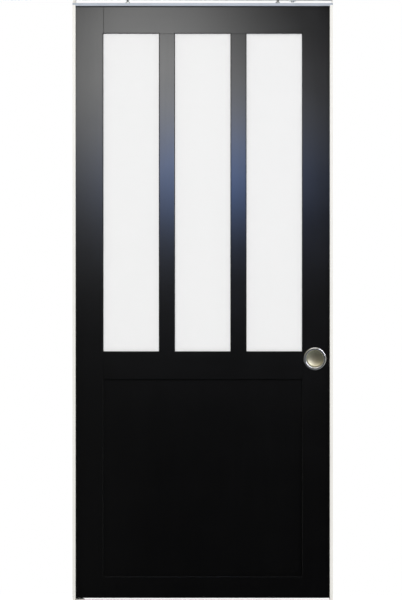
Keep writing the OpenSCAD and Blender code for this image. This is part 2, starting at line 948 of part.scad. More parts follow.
// The track's section: a box with a slot below, two screw ports above and a trim groove on each side
module track_section() {
    groove_z = track_z0 + track_h * groove_share;
    difference() {
        area(-side_y, side_y, track_z0, track_z1);
        difference() {
            area(-inner_y, inner_y, ledge_z, track_z1 - track_t);
            for (side = [-1, 1])
                port_area(side);
        }
        area(-track_slot / 2, track_slot / 2, track_z0 - cut, ledge_z + cut);
        for (side = [-1, 1]) {
            translate([side * port_y, port_z])
                circle(r = port_bore_r);
            polygon([
                [side * (side_y + cut), groove_z - track_groove - cut],
                [side * (side_y + cut), groove_z + track_groove + cut],
                [side * (side_y - track_groove), groove_z]
            ]);
        }
    }
}

// One screw port, joined to the corner of the track
module port_area(side) {
    y0 = side > 0 ? port_y : -inner_y;
    y1 = side > 0 ? inner_y : -port_y;
    translate([side * port_y, port_z])
        circle(r = port_r);
    area(y0, y1, port_z, track_z1 - track_t);
}

module head_track() {
    color(aluminium)
        difference() {
            run_x(track_x0, track_x1)
                track_section();
            for (share = head_hole_shares)
                for (side = [-1, 1])
                    rod_z(track_mid + side * share * head_reach, 0, track_z1 - track_t - cut,
                        track_z1 + cut, head_hole_r);
            both_faces()
                rod_y(tab_x, -side_y - cut, cut - inner_y, tab_z, screw_r + axle_fit);
        }
}

module track_end_cap() {
    color(nylon_black)
        difference() {
            box(track_x0 - cap_t, track_x0, -side_y, side_y, track_z0, track_z1);
            for (side = [-1, 1])
                translate([track_x0 - cap_t, side * port_y, port_z])
                    rotate([0, -90, 0])
                        sunk_hole(0, 0, 0, screw_r + axle_fit, cap_t);
        }
}

// Screws into the ports: two through the end cap and two through the strike jamb
module track_end_screws() {
    color(zinc)
        for (side = [-1, 1]) {
            translate([track_x0 - cap_t, side * port_y, port_z])
                rotate([0, -90, 0])
                    sunk_screw(0, 0, 0, screw_r, port_screw_l);
            translate([track_x1 + profile_t, side * port_y, port_z])
                rotate([0, 90, 0])
                    sunk_screw(0, 0, 0, screw_r, port_screw_l);
        }
}

// A stop block on the ledges, with a bore for its clamp screw
module track_stop(x0) {
    half = inner_y - stop_side_gap;
    color(zinc)
        difference() {
            box(x0, x0 + stop_l, -half, half, ledge_z, stop_z1);
            rod_z(x0 + stop_l / 2, 0, ledge_z - cut, stop_z1 + cut, clamp_r + axle_fit);
        }
}

module track_stop_closed() {
    track_stop(stop_x_closed);
}

module track_stop_open() {
    track_stop(stop_x_open - stop_l);
}

// A rubber buffer on a stop, towards its trolley
module stop_buffer(x0, x1) {
    color(rubber_black)
        rod_x(x0, x1, 0, axle_z, buffer_d / 2);
}

module stop_buffer_closed() {
    stop_buffer(stop_x_closed - buffer_l, stop_x_closed);
}

module stop_buffer_open() {
    stop_buffer(stop_x_open, stop_x_open + buffer_l);
}

module stop_clamp_plates() {
    half = inner_y - stop_side_gap;
    color(zinc)
        for (x = clamp_x)
            difference() {
                box(x - stop_l / 2, x + stop_l / 2, -half, half, track_z0 - clamp_t, track_z0);
                rod_z(x, 0, track_z0 - clamp_t - cut, track_z0 + cut, clamp_r + axle_fit);
            }
}

// Cap screws that draw each clamp plate up against the track
module stop_clamp_screws() {
    head_h = clamp_t * cap_share;
    head_z = track_z0 - clamp_t;
    color(zinc)
        for (x = clamp_x)
            difference() {
                union() {
                    rod_z(x, 0, head_z - head_h, head_z, clamp_r * head_share);
                    rod_z(x, 0, head_z - cut, stop_z1, clamp_r);
                }
                translate([x, 0, head_z - head_h - cut])
                    cylinder(h = head_h / 2 + cut, r = clamp_r, $fn = 6);
            }
}

// The head cover at the front: a face, a soffit and a stiffening edge
module cover_section() {
    edge_y = side_y + profile_t;
    difference() {
        union() {
            area(-wall_y, profile_t - wall_y, soffit_z, opening_h + head_face);
            area(-wall_y, -edge_y, soffit_z, soffit_z + profile_t);
            area(-edge_y - profile_t, -edge_y, soffit_z, soffit_z + cover_edge_h);
        }
        arris_cut(-wall_y, opening_h + head_face, 1, -1);
    }
}

// The nose of the cover's face, which hangs between the jambs and leaves a shadow gap behind it
module nose_section() {
    difference() {
        area(-wall_y, profile_t - wall_y, opening_h, soffit_z + profile_t);
        arris_cut(-wall_y, opening_h, 1, 1);
    }
}

module head_cover() {
    color(aluminium)
        difference() {
            union() {
                run_x(mouth_x - jamb_face, strike_x + jamb_face)
                    cover_section();
                run_x(mouth_x + nose_gap, strike_x - nose_gap)
                    nose_section();
            }
            for (x = cover_screw_x)
                sunk_hole(x, -cleat_y, soffit_z + profile_t, screw_r + axle_fit, profile_t);
        }
}

module head_cover_front() {
    head_cover();
}

module head_cover_rear() {
    mirror([0, 1, 0])
        head_cover();
}

module cover_screws() {
    color(zinc)
        both_faces()
            for (x = cover_screw_x)
                sunk_screw(x, -cleat_y, soffit_z + profile_t, screw_r, cover_screw_l);
}

// Cleats pressed into the jamb ends, which take the cover screws
module corner_cleats() {
    half = wall_y - profile_t - cleat_y;
    deep = jamb_face - profile_t;
    color(nylon_black)
        both_faces()
            difference() {
                union() {
                    box(mouth_x - profile_t - deep, mouth_x - profile_t, -cleat_y - half,
                        half - cleat_y, soffit_z - cleat_h, soffit_z);
                    box(strike_x + profile_t, strike_x + profile_t + deep, -cleat_y - half,
                        -channel_y - profile_t, soffit_z - cleat_h, soffit_z);
                }
                for (x = cover_screw_x)
                    rod_z(x, -cleat_y, soffit_z - cover_screw_l, soffit_z + cut, screw_r + axle_fit);
            }
}

// A brush seal's section at the front: backing on the profile and pile towards the leaf
module brush_section(back_y, tip_y, along) {
    area(along - seal_w / 2, along + seal_w / 2, back_y, back_y + seal_base_t);
    area(along - pile_w / 2, along + pile_w / 2, back_y, tip_y);
}

module head_seal() {
    back = -side_y - profile_t;
    mid = soffit_z + cover_edge_h / 2;
    color(pile_grey)
        translate([mouth_x, 0, 0])
            rotate([0, 90, 0])
                linear_extrude(height = opening_w)
                    brush_section(back, -face_y - seal_clear, -mid);
}

module head_seal_front() {
    head_seal();
}

module head_seal_rear() {
    mirror([0, 1, 0])
        head_seal();
}

module pocket_seal() {
    color(pile_grey)
        run_z(guide_plate_t, soffit_z)
            brush_section(-side_y, -face_y - seal_clear, mouth_x - jamb_face / 2);
}

module pocket_seal_front() {
    pocket_seal();
}

module pocket_seal_rear() {
    mirror([0, 1, 0])
        pocket_seal();
}

// The strike jamb: a hat section that takes the leaf edge and caps both wall faces
module strike_section() {
    x1 = strike_x + jamb_face;
    hollow_y = channel_y + profile_t;
    difference() {
        area(strike_x, x1, -wall_y, wall_y);
        area(strike_x - cut, x1 - profile_t, -channel_y, channel_y);
        for (side = [-1, 1]) {
            area(strike_x + profile_t, x1 + cut, min(side * (wall_y - profile_t), side * hollow_y),
                max(side * (wall_y - profile_t), side * hollow_y));
            arris_cut(strike_x, side * wall_y, 1, -side);
            arris_cut(strike_x, side * channel_y, 1, side);
        }
    }
}

module strike_jamb() {
    x1 = strike_x + jamb_face;
    color(jamb_cream)
        difference() {
            union() {
                run_z(0, soffit_z)
                    strike_section();
                box(x1 - profile_t, x1, -channel_y, channel_y, soffit_z - cut, track_z1);
            }
            for (share = wall_screw_shares)
                for (side = [-1, 1])
                    rod_x(x1 - profile_t - cut, x1 + cut, side * wall_hole_pitch / 2,
                        wall_screw_z + share * wall_screw_run, wall_hole_r);
            for (side = [-1, 1])
                translate([x1, side * port_y, port_z])
                    rotate([0, 90, 0])
                        sunk_hole(0, 0, 0, screw_r + axle_fit, profile_t);
        }
}

module strike_seal() {
    x1 = strike_x + jamb_face - profile_t;
    color(rubber_black)
        box(leaf_x1 + seal_clear, x1, -strike_seal_w / 2, strike_seal_w / 2, 0, soffit_z);
}

// The pocket jamb at the front: a channel that caps the edge of the pocket wall
module pocket_jamb() {
    x0 = mouth_x - jamb_face;
    color(jamb_cream)
        difference() {
            union() {
                run_z(0, soffit_z)
                    difference() {
                        area(x0, mouth_x, -wall_y, -side_y);
                        area(x0 - cut, mouth_x - profile_t, profile_t - wall_y, -side_y - profile_t);
                        arris_cut(mouth_x, -wall_y, -1, 1);
                        arris_cut(mouth_x, -side_y, -1, -1);
                    }
                box(x0, mouth_x, -side_y - profile_t, -side_y, soffit_z - cut, track_z0 + tab_rise);
            }
            rod_y(tab_x, -side_y - profile_t - cut, cut - side_y, tab_z, screw_r + axle_fit);
        }
}

module pocket_jamb_front() {
    pocket_jamb();
}

module pocket_jamb_rear() {
    mirror([0, 1, 0])
        pocket_jamb();
}

// Screws from the jamb tabs into the sides of the track
module jamb_tab_screws() {
    color(zinc)
        both_faces()
            translate([tab_x, -side_y - profile_t, tab_z])
                rotate([0, 0, -90])
                    pan_screw(0, 0, 0, profile_t + track_t);
}

// The floor guide: a plate between the pocket jambs with a fin in the leaf's channel
module floor_guide() {
    fin = channel_w / 2 - channel_t - fin_gap;
    fin_z1 = leaf_z0 + channel_h - channel_t - fin_top_gap;
    x1 = mouth_x + guide_reach;
    fin_end = jamb_face / 2;
    soft = guide_plate_t / 2;
    color(nylon_black)
        difference() {
            union() {
                run_y(-side_y, side_y)
                    polygon([
                        [mouth_x - jamb_face, 0], [x1, 0], [x1, soft], [x1 - soft, guide_plate_t],
                        [mouth_x - jamb_face, guide_plate_t]
                    ]);
                run_y(-fin, fin)
                    polygon([
                        [mouth_x, guide_plate_t - cut], [x1 - fin_end, guide_plate_t - cut],
                        [x1 - fin_end, fin_z1 - fin_end], [x1 - 2 * fin_end, fin_z1],
                        [mouth_x + fin_end, fin_z1], [mouth_x, fin_z1 - fin_end]
                    ]);
            }
            for (side = [-1, 1])
                sunk_hole(mouth_x + guide_reach / 2, side * guide_hole_pitch / 2, guide_plate_t,
                    guide_hole_r, guide_plate_t);
        }
}

head_track();
track_end_cap();
track_end_screws();
track_stop_closed();
track_stop_open();
stop_buffer_closed();
stop_buffer_open();
stop_clamp_plates();
stop_clamp_screws();
head_cover_front();
head_cover_rear();
head_seal_front();
head_seal_rear();
strike_jamb();
strike_seal();
pocket_jamb_front();
pocket_jamb_rear();
pocket_seal_front();
pocket_seal_rear();
jamb_tab_screws();
corner_cleats();
cover_screws();
floor_guide();
left_stile();
right_stile();
top_rail();
lock_rail();
bottom_rail();
left_muntin();
right_muntin();
lower_panel();
left_glass();
middle_glass();
right_glass();
left_beads();
middle_beads();
right_beads();
glazing_tapes();
joint_dowels();
muntin_dowels();
front_pull();
rear_pull();
guide_channel();
left_hanger_plate();
right_hanger_plate();
hanger_screws();
left_hanger_bolt();
right_hanger_bolt();
hanger_nuts();
left_trolley();
right_trolley();
trolley_axles();
left_outer_wheels();
left_inner_wheels();
right_inner_wheels();
right_outer_wheels();
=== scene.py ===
"""Looks for a sliding glazed door: satin black leaf, etched panes, flush pulls, slim frame, hanging gear."""

import math

import bpy
import numpy as np
from bpy.props import FloatProperty, FloatVectorProperty, IntProperty, PointerProperty
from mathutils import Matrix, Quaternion, Vector


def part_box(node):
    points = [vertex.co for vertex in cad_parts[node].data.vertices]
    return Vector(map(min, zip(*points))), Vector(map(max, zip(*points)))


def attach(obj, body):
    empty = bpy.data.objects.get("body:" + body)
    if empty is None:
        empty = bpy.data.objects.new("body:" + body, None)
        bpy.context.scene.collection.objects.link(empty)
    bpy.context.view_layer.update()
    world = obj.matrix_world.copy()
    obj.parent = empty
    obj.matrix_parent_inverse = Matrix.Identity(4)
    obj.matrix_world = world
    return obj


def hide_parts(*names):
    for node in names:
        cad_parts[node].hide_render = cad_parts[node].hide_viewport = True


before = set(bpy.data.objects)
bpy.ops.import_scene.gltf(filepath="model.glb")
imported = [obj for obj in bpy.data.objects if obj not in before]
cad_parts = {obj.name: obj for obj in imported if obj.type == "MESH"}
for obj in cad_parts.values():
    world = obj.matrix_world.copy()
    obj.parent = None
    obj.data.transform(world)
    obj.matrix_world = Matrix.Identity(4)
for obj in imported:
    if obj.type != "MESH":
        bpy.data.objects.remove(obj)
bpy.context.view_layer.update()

bl_info = {
    "name": "Sliding glazed door",
    "version": (1, 0, 0),
    "blender": (4, 5, 0),
    "location": "3D View > Sidebar > Door",
    "description": "Dresses the sliding glazed door and sets up its studio",
    "category": "Object",
}

# Bodies and the nodes that share a finish
LEAF = "leaf"
SURROUND = "frame"
UPRIGHTS = ("left_stile", "right_stile", "left_muntin", "right_muntin")
RAILS = ("top_rail", "lock_rail", "bottom_rail")
BEADS = ("left_beads", "middle_beads", "right_beads")
PANES = ("left_glass", "middle_glass", "right_glass")
JAMBS = ("strike_jamb", "pocket_jamb_front", "pocket_jamb_rear")
COVERS = ("head_cover_front", "head_cover_rear")
WHEELS = ("left_outer_wheels", "left_inner_wheels", "right_inner_wheels", "right_outer_wheels")
STEEL = ("stop_clamp_plates", "stop_clamp_screws", "track_stop_closed", "track_stop_open",
         "left_hanger_plate", "right_hanger_plate", "trolley_axles")
MOULDED = ("track_end_cap", "corner_cleats", "left_trolley", "right_trolley")
DOWELS = ("joint_dowels", "muntin_dowels")
X_AXIS, Y_AXIS, Z_AXIS = np.eye(3)
WHITE = (1.0, 1.0, 1.0)

# Screws, bolts and nuts: sizes in metres, and shares of those sizes
SCREW_R = 0.0019
HANGER_SCREW_R = 0.0022
END_SCREW_L = 0.014
TAB_SCREW_L = 0.005
HEAD_SHARE = 1.9
PAN_SHARE = 0.7
HEAD_RINGS = np.linspace(0.0, 1.0, 15)
BOLT_R = 0.004
BOLT_HEAD_H = 0.0055
BOLT_BEVEL = 0.0006
BOLT_SLACK = 0.00004
NUT_BORE_R = 0.00405

# Brush seals: backing, lanes of tufts and half sizes of a tuft, in metres
STRIP_T = 0.001
LANE_PITCH = 0.0009
TUFT_UNEVEN = 0.0004
TUFT_ROOT_Y = 0.00043
TUFT_TIP_Y = 0.00026


def colour_property(label, words, default):
    """A linear colour that a user can change."""
    return FloatVectorProperty(name=label, description=words, default=default, size=3, min=0.0, max=1.0,
                               subtype="COLOR")


def length_property(label, words, default, low, high):
    """A length in metres that a user can change."""
    return FloatProperty(name=label, description=words, default=default, min=low, max=high, precision=5,
                         unit="LENGTH")


def share_property(label, words, default, high=1.0):
    """A plain share that a user can change."""
    return FloatProperty(name=label, description=words, default=default, min=0.0, max=high, subtype="FACTOR")


class DoorFinish(bpy.types.PropertyGroup):
    """Colours and gloss of the door's finishes."""

    paint: colour_property("Paint", "Satin paint on the leaf", (0.0026, 0.0026, 0.0028))
    paint_rough: share_property("Paint roughness", "How matt the paint is", 0.19)
    glass: colour_property("Glass", "Etched glass of the panes", (0.955, 0.955, 0.953))
    glass_rough: share_property("Glass roughness", "How far the etched face spreads light", 0.3)
    # The dishes' olive cast is partly aged nickel and partly painted reflection of a warm room; the rims keep
    # the metal's plain grey.
    nickel: colour_property("Nickel", "Aged nickel of the pulls' dishes", (0.61, 0.575, 0.41))
    nickel_rim: colour_property("Nickel rim", "Nickel of the pulls' rims, rubbed bright", (0.70, 0.70, 0.69))
    cream: colour_property("Jamb coating", "Powder coating of the jambs", (0.90, 0.885, 0.82))
    cover: colour_property("Head cover", "Anodised head covers", (0.42, 0.455, 0.50))
    aluminium: colour_property("Track", "Anodised aluminium of the track", (0.60, 0.62, 0.65))
    zinc: colour_property("Zinc", "Bright zinc plate of the hanging gear", (0.58, 0.59, 0.60))
    black_nylon: colour_property("Black nylon", "Moulded trolleys, cleats and end cap", (0.014, 0.014, 0.015))
    white_nylon: colour_property("White nylon", "Turned wheels and floor guide", (0.72, 0.72, 0.67))
    pile: colour_property("Pile", "Pile of the brush seals", (0.085, 0.085, 0.095))
    rubber: colour_property("Rubber", "Seals, tapes and buffers", (0.012, 0.012, 0.012))
    timber: colour_property("Timber", "Bare beech of the dowels", (0.50, 0.33, 0.17))


class DoorDetail(bpy.types.PropertyGroup):
    """Small sizes that belong to the looks."""

    arris: length_property("Arris", "Radius at which light rolls over an edge", 0.0005, 0.0002, 0.003)
    dish_mouth: length_property("Dish mouth", "Radius of a pull's dish at its mouth", 0.0305, 0.02, 0.034)
    dish_depth: length_property("Dish depth", "Depth of a pull's dish at its middle", 0.0095, 0.007, 0.012)
    dish_sag: length_property("Dish sag", "Rise of a dish's floor up to its fillet", 0.0025, 0.001, 0.0035)
    dish_fillet: length_property("Dish fillet", "Fillet round the floor of a dish", 0.006, 0.003, 0.008)
    dish_wall: length_property("Dish wall", "Thickness of a pull's sheet", 0.0012, 0.0008, 0.0016)
    flange_rise: length_property("Flange rise", "Height of a pull's domed flange", 0.002, 0.0015, 0.003)
    thread_pitch: length_property("Thread pitch", "Pitch of the hanger bolts", 0.00125, 0.0008, 0.002)
    thread_depth: length_property("Thread depth", "Depth of the hanger bolts' thread", 0.0006, 0.0002, 0.001)
    recess_depth: length_property("Recess depth", "Depth of the cross in a screw head", 0.0012, 0.0004, 0.002)
    tuft_pitch: length_property("Tuft pitch", "Distance between tufts along a brush seal", 0.003, 0.002, 0.01)
    tuft_rows: IntProperty(name="Tuft rows", description="Rows of tufts in a seal", default=3, min=1, max=5)
    tuft_lean: length_property("Tuft lean", "Most that a tuft leans at its tip", 0.0004, 0.0, 0.001)


class DoorStudio(bpy.types.PropertyGroup):
    """Camera, floor and light."""

    camera_x: length_property("Camera across", "Camera along the wall", 0.4007, -2.0, 2.0)
    camera_z: length_property("Camera height", "Camera above the floor", 1.0640, 0.0, 3.0)
    camera_distance: length_property("Camera distance", "Camera in front of the leaf", 14.0, 1.0, 30.0)
    view_height: length_property("View height", "Height in the picture at the leaf", 2.1265, 0.5, 5.0)
    ambient: share_property("Ambient", "Even light of the room on the door", 0.86, 2.0)
    floor: colour_property("Floor", "Plain pale floor", (0.93, 0.93, 0.925))
    panel_distance: length_property("Panel distance", "Light panels from the door's middle", 1.5, 1.0, 8.0)
    panel_strength: share_property("Panel strength", "Brightness of the front panel's middle", 5.8, 20.0)
    cool_strength: share_property("Cool strength", "Brightness of the front panel's cool patch", 5.5, 20.0)


# Shapes as whole arrays: points, four-sided faces, three-sided faces

def outward(points, quads, tris):
    """Turns every face round if the volume, the sum of the faces' signed tetrahedra, comes out negative."""
    halves = np.concatenate([quads[:, [0, 1, 2]], quads[:, [0, 2, 3]], tris])
    a, b, c = (points[halves[:, k]] for k in range(3))
    if np.einsum("ij,ij->", a, np.cross(b, c)) < 0:
        quads, tris = quads[:, ::-1], tris[:, ::-1]
    return points, quads, tris


def angles(around):
    """Even angles once round."""
    return np.linspace(0.0, 2.0 * math.pi, around, endpoint=False)


def turned(radius, height, around=96, hollow=False):
    """Rings about an axis: ring k at angle a lies radius[k, a] from the axis and height[k, a] along it.

    A solid shape's first and last rings are points on the axis. A hollow one's last ring meets its first.
    """
    angle = angles(around)
    radius, height = (np.asarray(v, float) for v in (radius, height))
    radius, height = (np.repeat(v[:, None], around, 1) if v.ndim == 1 else v for v in (radius, height))
    rings = np.stack([radius * np.cos(angle), radius * np.sin(angle), height], -1)
    if not hollow:
        first, last = rings[0].mean(0), rings[-1].mean(0)
        rings = rings[1:-1]
    rows = len(rings)
    index = np.arange(rows * around).reshape(rows, around)
    beside = np.roll(index, -1, 1)
    step = np.roll(index, -1, 0), np.roll(beside, -1, 0)
    quads = np.stack([index, beside, step[1], step[0]], -1)
    quads = (quads if hollow else quads[:-1]).reshape(-1, 4)
    points, tris = rings.reshape(-1, 3), np.zeros((0, 3), int)
    if not hollow:
        count = rows * around
        points = np.concatenate([points, [first, last]])
        tris = np.concatenate([
            np.stack([np.full(around, count), beside[0], index[0]], -1),
            np.stack([np.full(around, count + 1), index[-1], beside[-1]], -1),
        ])
    return outward(points, quads, tris)


def blocks(low, high, tip_low=None, tip_high=None):
    """Many four-sided prisms at once, from a root rectangle at the lower z to a tip one at the higher z."""
    low, high = np.atleast_2d(low), np.atleast_2d(high)
    tip_low = low if tip_low is None else np.atleast_2d(tip_low)
    tip_high = high if tip_high is None else np.atleast_2d(tip_high)
    sides = np.array([[0, 0], [1, 0], [1, 1], [0, 1]])
    root = np.where(sides[None], high[:, None, :2], low[:, None, :2])
    tip = np.where(sides[None], tip_high[:, None, :2], tip_low[:, None, :2])
    root = np.concatenate([root, np.broadcast_to(low[:, None, 2:], root[..., :1].shape)], -1)
    tip = np.concatenate([tip, np.broadcast_to(high[:, None, 2:], tip[..., :1].shape)], -1)
    points = np.concatenate([root, tip], 1)
    six = np.array([[0, 3, 2, 1], [4, 5, 6, 7], [0, 1, 5, 4], [1, 2, 6, 5], [2, 3, 7, 6], [3, 0, 4, 7]])
    quads = (six[None] + 8 * np.arange(len(points))[:, None, None]).reshape(-1, 4)
    return points.reshape(-1, 3), quads, np.zeros((0, 3), int)


def carried(outline, start, end):
    """A closed outline in x and y carried straight from one height to another, its ends closed by fans."""
    outline = np.asarray(outline, float)
    count = len(outline)
    middle = outline.mean(0)
    rows = [np.column_stack([outline, np.full(count, z)]) for z in (start, end)]
    points = np.concatenate([*rows, [[*middle, start], [*middle, end]]])
    here = np.arange(count)
    after = np.roll(here, -1)
    quads = np.stack([here, after, after + count, here + count], -1)
    tris = np.concatenate([
        np.stack([np.full(count, 2 * count), after, here], -1),
        np.stack([np.full(count, 2 * count + 1), here + count, after + count], -1),
    ])
    return outward(points, quads, tris)


def placed(shape, origin, across, axis):
    """The shape with its x along across, its z along axis and its zero at origin."""
    points, quads, tris = shape
    across, axis = np.asarray(across, float), np.asarray(axis, float)
    frame_axes = np.stack([across, np.cross(axis, across), axis])
    return points @ frame_axes + np.asarray(origin, float), quads, tris


def joined(shapes):
    """Several shapes as one, their faces counted on from one another."""
    counts = np.cumsum([0] + [len(s[0]) for s in shapes[:-1]])
    return (np.concatenate([s[0] for s in shapes]),
            np.concatenate([s[1] + n for s, n in zip(shapes, counts)]),
            np.concatenate([s[2] + n for s, n in zip(shapes, counts)]))


def make_piece(name, shape, body, finish, stands_for, sharp=40.0):
    """A mesh of the shape that rides on a body and stands for CAD nodes, smooth up to the given angle."""
    points, quads, tris = shape
    mesh = bpy.data.meshes.new(name)
    mesh.from_pydata(points.tolist(), [], quads.tolist() + tris.tolist())
    mesh.polygons.foreach_set("use_smooth", np.ones(len(mesh.polygons), bool))
    mesh.set_sharp_from_angle(angle=math.radians(sharp))
    mesh.materials.append(finish)
    if mesh.validate():
        raise RuntimeError(f"the mesh of {name} had faults")
    obj = bpy.data.objects.new(name, mesh)
    bpy.context.scene.collection.objects.link(obj)
    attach(obj, body)
    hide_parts(*stands_for)
    return obj


def dress(nodes, finish):
    """Gives CAD nodes a finish in their material slots."""
    for name in nodes:
        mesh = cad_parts[name].data
        if not mesh.materials:
            mesh.materials.append(finish)
        for k in range(len(mesh.materials)):
            mesh.materials[k] = finish


def node_box(name):
    """Lowest and highest corner of a CAD node as arrays."""
    low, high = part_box(name)
    return np.array(low), np.array(high)


# Finishes

class Nodes:
    """A node tree under construction."""

    def __init__(self, tree):
        self.tree = tree

    def node(self, kind, inputs=None, **settings):
        """One shader node: settings are its own values, inputs its sockets, linked or set."""
        made = self.tree.nodes.new("ShaderNode" + kind)
        for key, value in settings.items():
            setattr(made, key, value)
        for key, value in (inputs or {}).items():
            self.put(made.inputs[key], value)
        return made

    def put(self, socket, value):
        """Links an output to a socket, or sets the socket's own value."""
        if isinstance(value, bpy.types.NodeSocket):
            self.tree.links.new(value, socket)
        else:
            socket.default_value = value

    def math(self, operation, *values):
        """One step of arithmetic on numbers."""
        return self.node("Math", dict(enumerate(values)), operation=operation).outputs[0]

    def product(self, first, *others):
        """All the numbers multiplied."""
        for other in others:
            first = self.math("MULTIPLY", first, other)
        return first

    def vector(self, operation, *values, output="Vector"):
        """One step of arithmetic on vectors; its output Value is a number."""
        return self.node("VectorMath", dict(enumerate(values)), operation=operation).outputs[output]

    def spread(self, value, low, high, from_low=0.3, from_high=0.7, form="LINEAR"):
        """A value mapped from one range to another."""
        ends = {"From Min": from_low, "From Max": from_high, "To Min": low, "To Max": high}
        return self.node("MapRange", {"Value": value, **ends}, interpolation_type=form).outputs["Result"]


class Recipe(Nodes):
    """A material under construction, on Object coordinates."""

    def __init__(self, name):
        self.material = bpy.data.materials.new(name)
        self.material.use_nodes = True
        super().__init__(self.material.node_tree)
        self.shader = self.tree.nodes["Principled BSDF"]
        self.place = self.node("TexCoord").outputs["Object"]
        self.look = bpy.context.scene.door_finish

    def surface(self, **inputs):
        """Sets sockets of the shader, spaces written as underscores."""
        for key, value in inputs.items():
            self.put(self.shader.inputs[key.replace("_", " ")], value)

    def mapped(self, scale=(1, 1, 1), location=(0, 0, 0)):
        """Object coordinates moved and then stretched."""
        return self.vector("MULTIPLY", self.vector("SUBTRACT", self.place, location), scale)

    def noise(self, scale, detail=2.0, rough=0.5, place=None):
        """Cloudy noise from 0 to 1."""
        inputs = {"Scale": scale, "Detail": detail, "Roughness": rough}
        inputs["Vector"] = self.place if place is None else place
        return self.node("TexNoise", inputs).outputs["Fac"]

    def tint(self, share, first, second):
        """A colour between two by a share; either may come from another node."""
        made = self.node("Mix", data_type="RGBA")
        self.put(made.inputs[0], share)
        for socket, colour in ((made.inputs[6], first), (made.inputs[7], second)):
            self.put(socket, colour if isinstance(colour, bpy.types.NodeSocket) else (*colour, 1.0))
        return made.outputs[2]

    def mottled(self, value, colour, low, high):
        """A colour that runs between two shares of itself with a cloudy value."""
        return self.tint(self.spread(value, 0.0, 1.0), shaded(colour, low), shaded(colour, high))

    def bump(self, height, strength, distance, normal=None):
        """A surface relief; normal is the relief that it lies on."""
        made = self.node("Bump", {"Height": height, "Strength": strength, "Distance": distance})
        if normal is not None:
            self.put(made.inputs["Normal"], normal)
        return made.outputs["Normal"]

    def soft_edge(self, radius):
        """A normal that rolls over edges within the given radius."""
        return self.node("Bevel", {"Radius": radius}, samples=4).outputs["Normal"]


def shaded(colour, share):
    """A colour made lighter or darker by a share."""
    return tuple(min(1.0, c * share) for c in colour)


def satin_paint(name, stretch):
    """Satin black paint: fine brush relief along the member, spray stipple and light on rounded arrises."""
    make = Recipe(name)
    look, arris = make.look, bpy.context.scene.door_detail.arris
    streak = make.noise(scale=1.0, detail=4.0, rough=0.6, place=make.mapped(stretch))
    cloud = make.noise(scale=7.0)
    stipple = make.noise(scale=1100.0)
    relief = make.bump(streak, strength=0.03, distance=0.0003, normal=make.soft_edge(arris))
    relief = make.bump(stipple, strength=0.04, distance=0.00008, normal=relief)
    mixed = make.math("ADD", streak, cloud)
    make.surface(
        Base_Color=make.mottled(streak, look.paint, 0.96, 1.06),
        Roughness=make.spread(mixed, look.paint_rough - 0.02, look.paint_rough + 0.03, 0.7, 1.3),
        IOR=1.5, Normal=relief)
    return make.material


def etched_glass(name):
    """Etched glass: white, very slightly uneven in level streaks, with a fine grain of its own."""
    make = Recipe(name)
    look = make.look
    streak = make.noise(scale=1.0, detail=3.0, place=make.mapped((5.0, 30.0, 42.0)))
    grain = make.noise(scale=2600.0, detail=1.0)
    make.surface(
        Base_Color=make.mottled(streak, look.glass, 0.997, 1.003),
        Roughness=make.spread(streak, look.glass_rough - 0.02, look.glass_rough + 0.02),
        Transmission_Weight=0.9, IOR=1.5, Normal=make.bump(grain, strength=0.05, distance=0.0001))
    return make.material


def spun_nickel(name, centre):
    """Aged nickel: a bright polished rim round a satin dish, with fine rings about the axis. The dish's olive
    cast is partly aged metal and partly painted reflection of a warm room.
    """
    make = Recipe(name)
    look, mouth = make.look, bpy.context.scene.door_detail.dish_mouth
    radius = make.vector("LENGTH", make.mapped((1.0, 0.0, 1.0), tuple(centre)), output="Value")
    rings = make.node("TexNoise", {"W": radius, "Scale": 2600.0, "Detail": 2.0}, noise_dimensions="1D")
    cloud = make.noise(scale=60.0, detail=3.0, rough=0.6)
    rough = make.spread(radius, 0.30, 0.14, mouth - 0.001, mouth + 0.001)
    # Painted reflection, partly real: the dish's olive cast is aged metal and also stands in for the warm
    # room reflected in it, while the rim keeps a plain grey.
    dish = make.mottled(cloud, look.nickel, 0.92, 1.05)
    rim = make.mottled(cloud, look.nickel_rim, 0.94, 1.04)
    make.surface(
        Base_Color=make.tint(make.spread(radius, 0.0, 1.0, mouth - 0.002, mouth + 0.001), dish, rim),
        Metallic=0.9, Roughness=make.math("ADD", rough, make.spread(cloud, -0.02, 0.03)),
        Normal=make.bump(rings.outputs["Fac"], strength=0.08, distance=0.00008))
    return make.material


def powder_coat(name, colour):
    """Matt powder coating: fine orange peel, a soft cloud of gloss and rubbed edges."""
    make = Recipe(name)
    peel = make.noise(scale=900.0)
    cloud = make.noise(scale=9.0, detail=3.0, rough=0.6)
    relief = make.bump(peel, strength=0.08, distance=0.00015, normal=make.soft_edge(0.0005))
    make.surface(
        Base_Color=make.mottled(cloud, colour, 0.975, 1.01),
        Roughness=make.spread(cloud, 0.42, 0.52), IOR=1.5, Normal=relief)
    return make.material


def drawn_metal(name, colour, stretch, metal, rough):
    """Anodised or plated metal: fine lines along the draw, with a cloud of tone."""
    make = Recipe(name)
    line = make.noise(scale=1.0, detail=4.0, rough=0.65, place=make.mapped(stretch))
    cloud = make.noise(scale=14.0, detail=3.0, rough=0.6)
    make.surface(
        Base_Color=make.mottled(cloud, colour, 0.94, 1.05),
        Metallic=metal, Roughness=make.spread(line, rough - 0.06, rough + 0.08), IOR=1.5,
        Normal=make.bump(line, strength=0.10, distance=0.00012, normal=make.soft_edge(0.0004)))
    return make.material


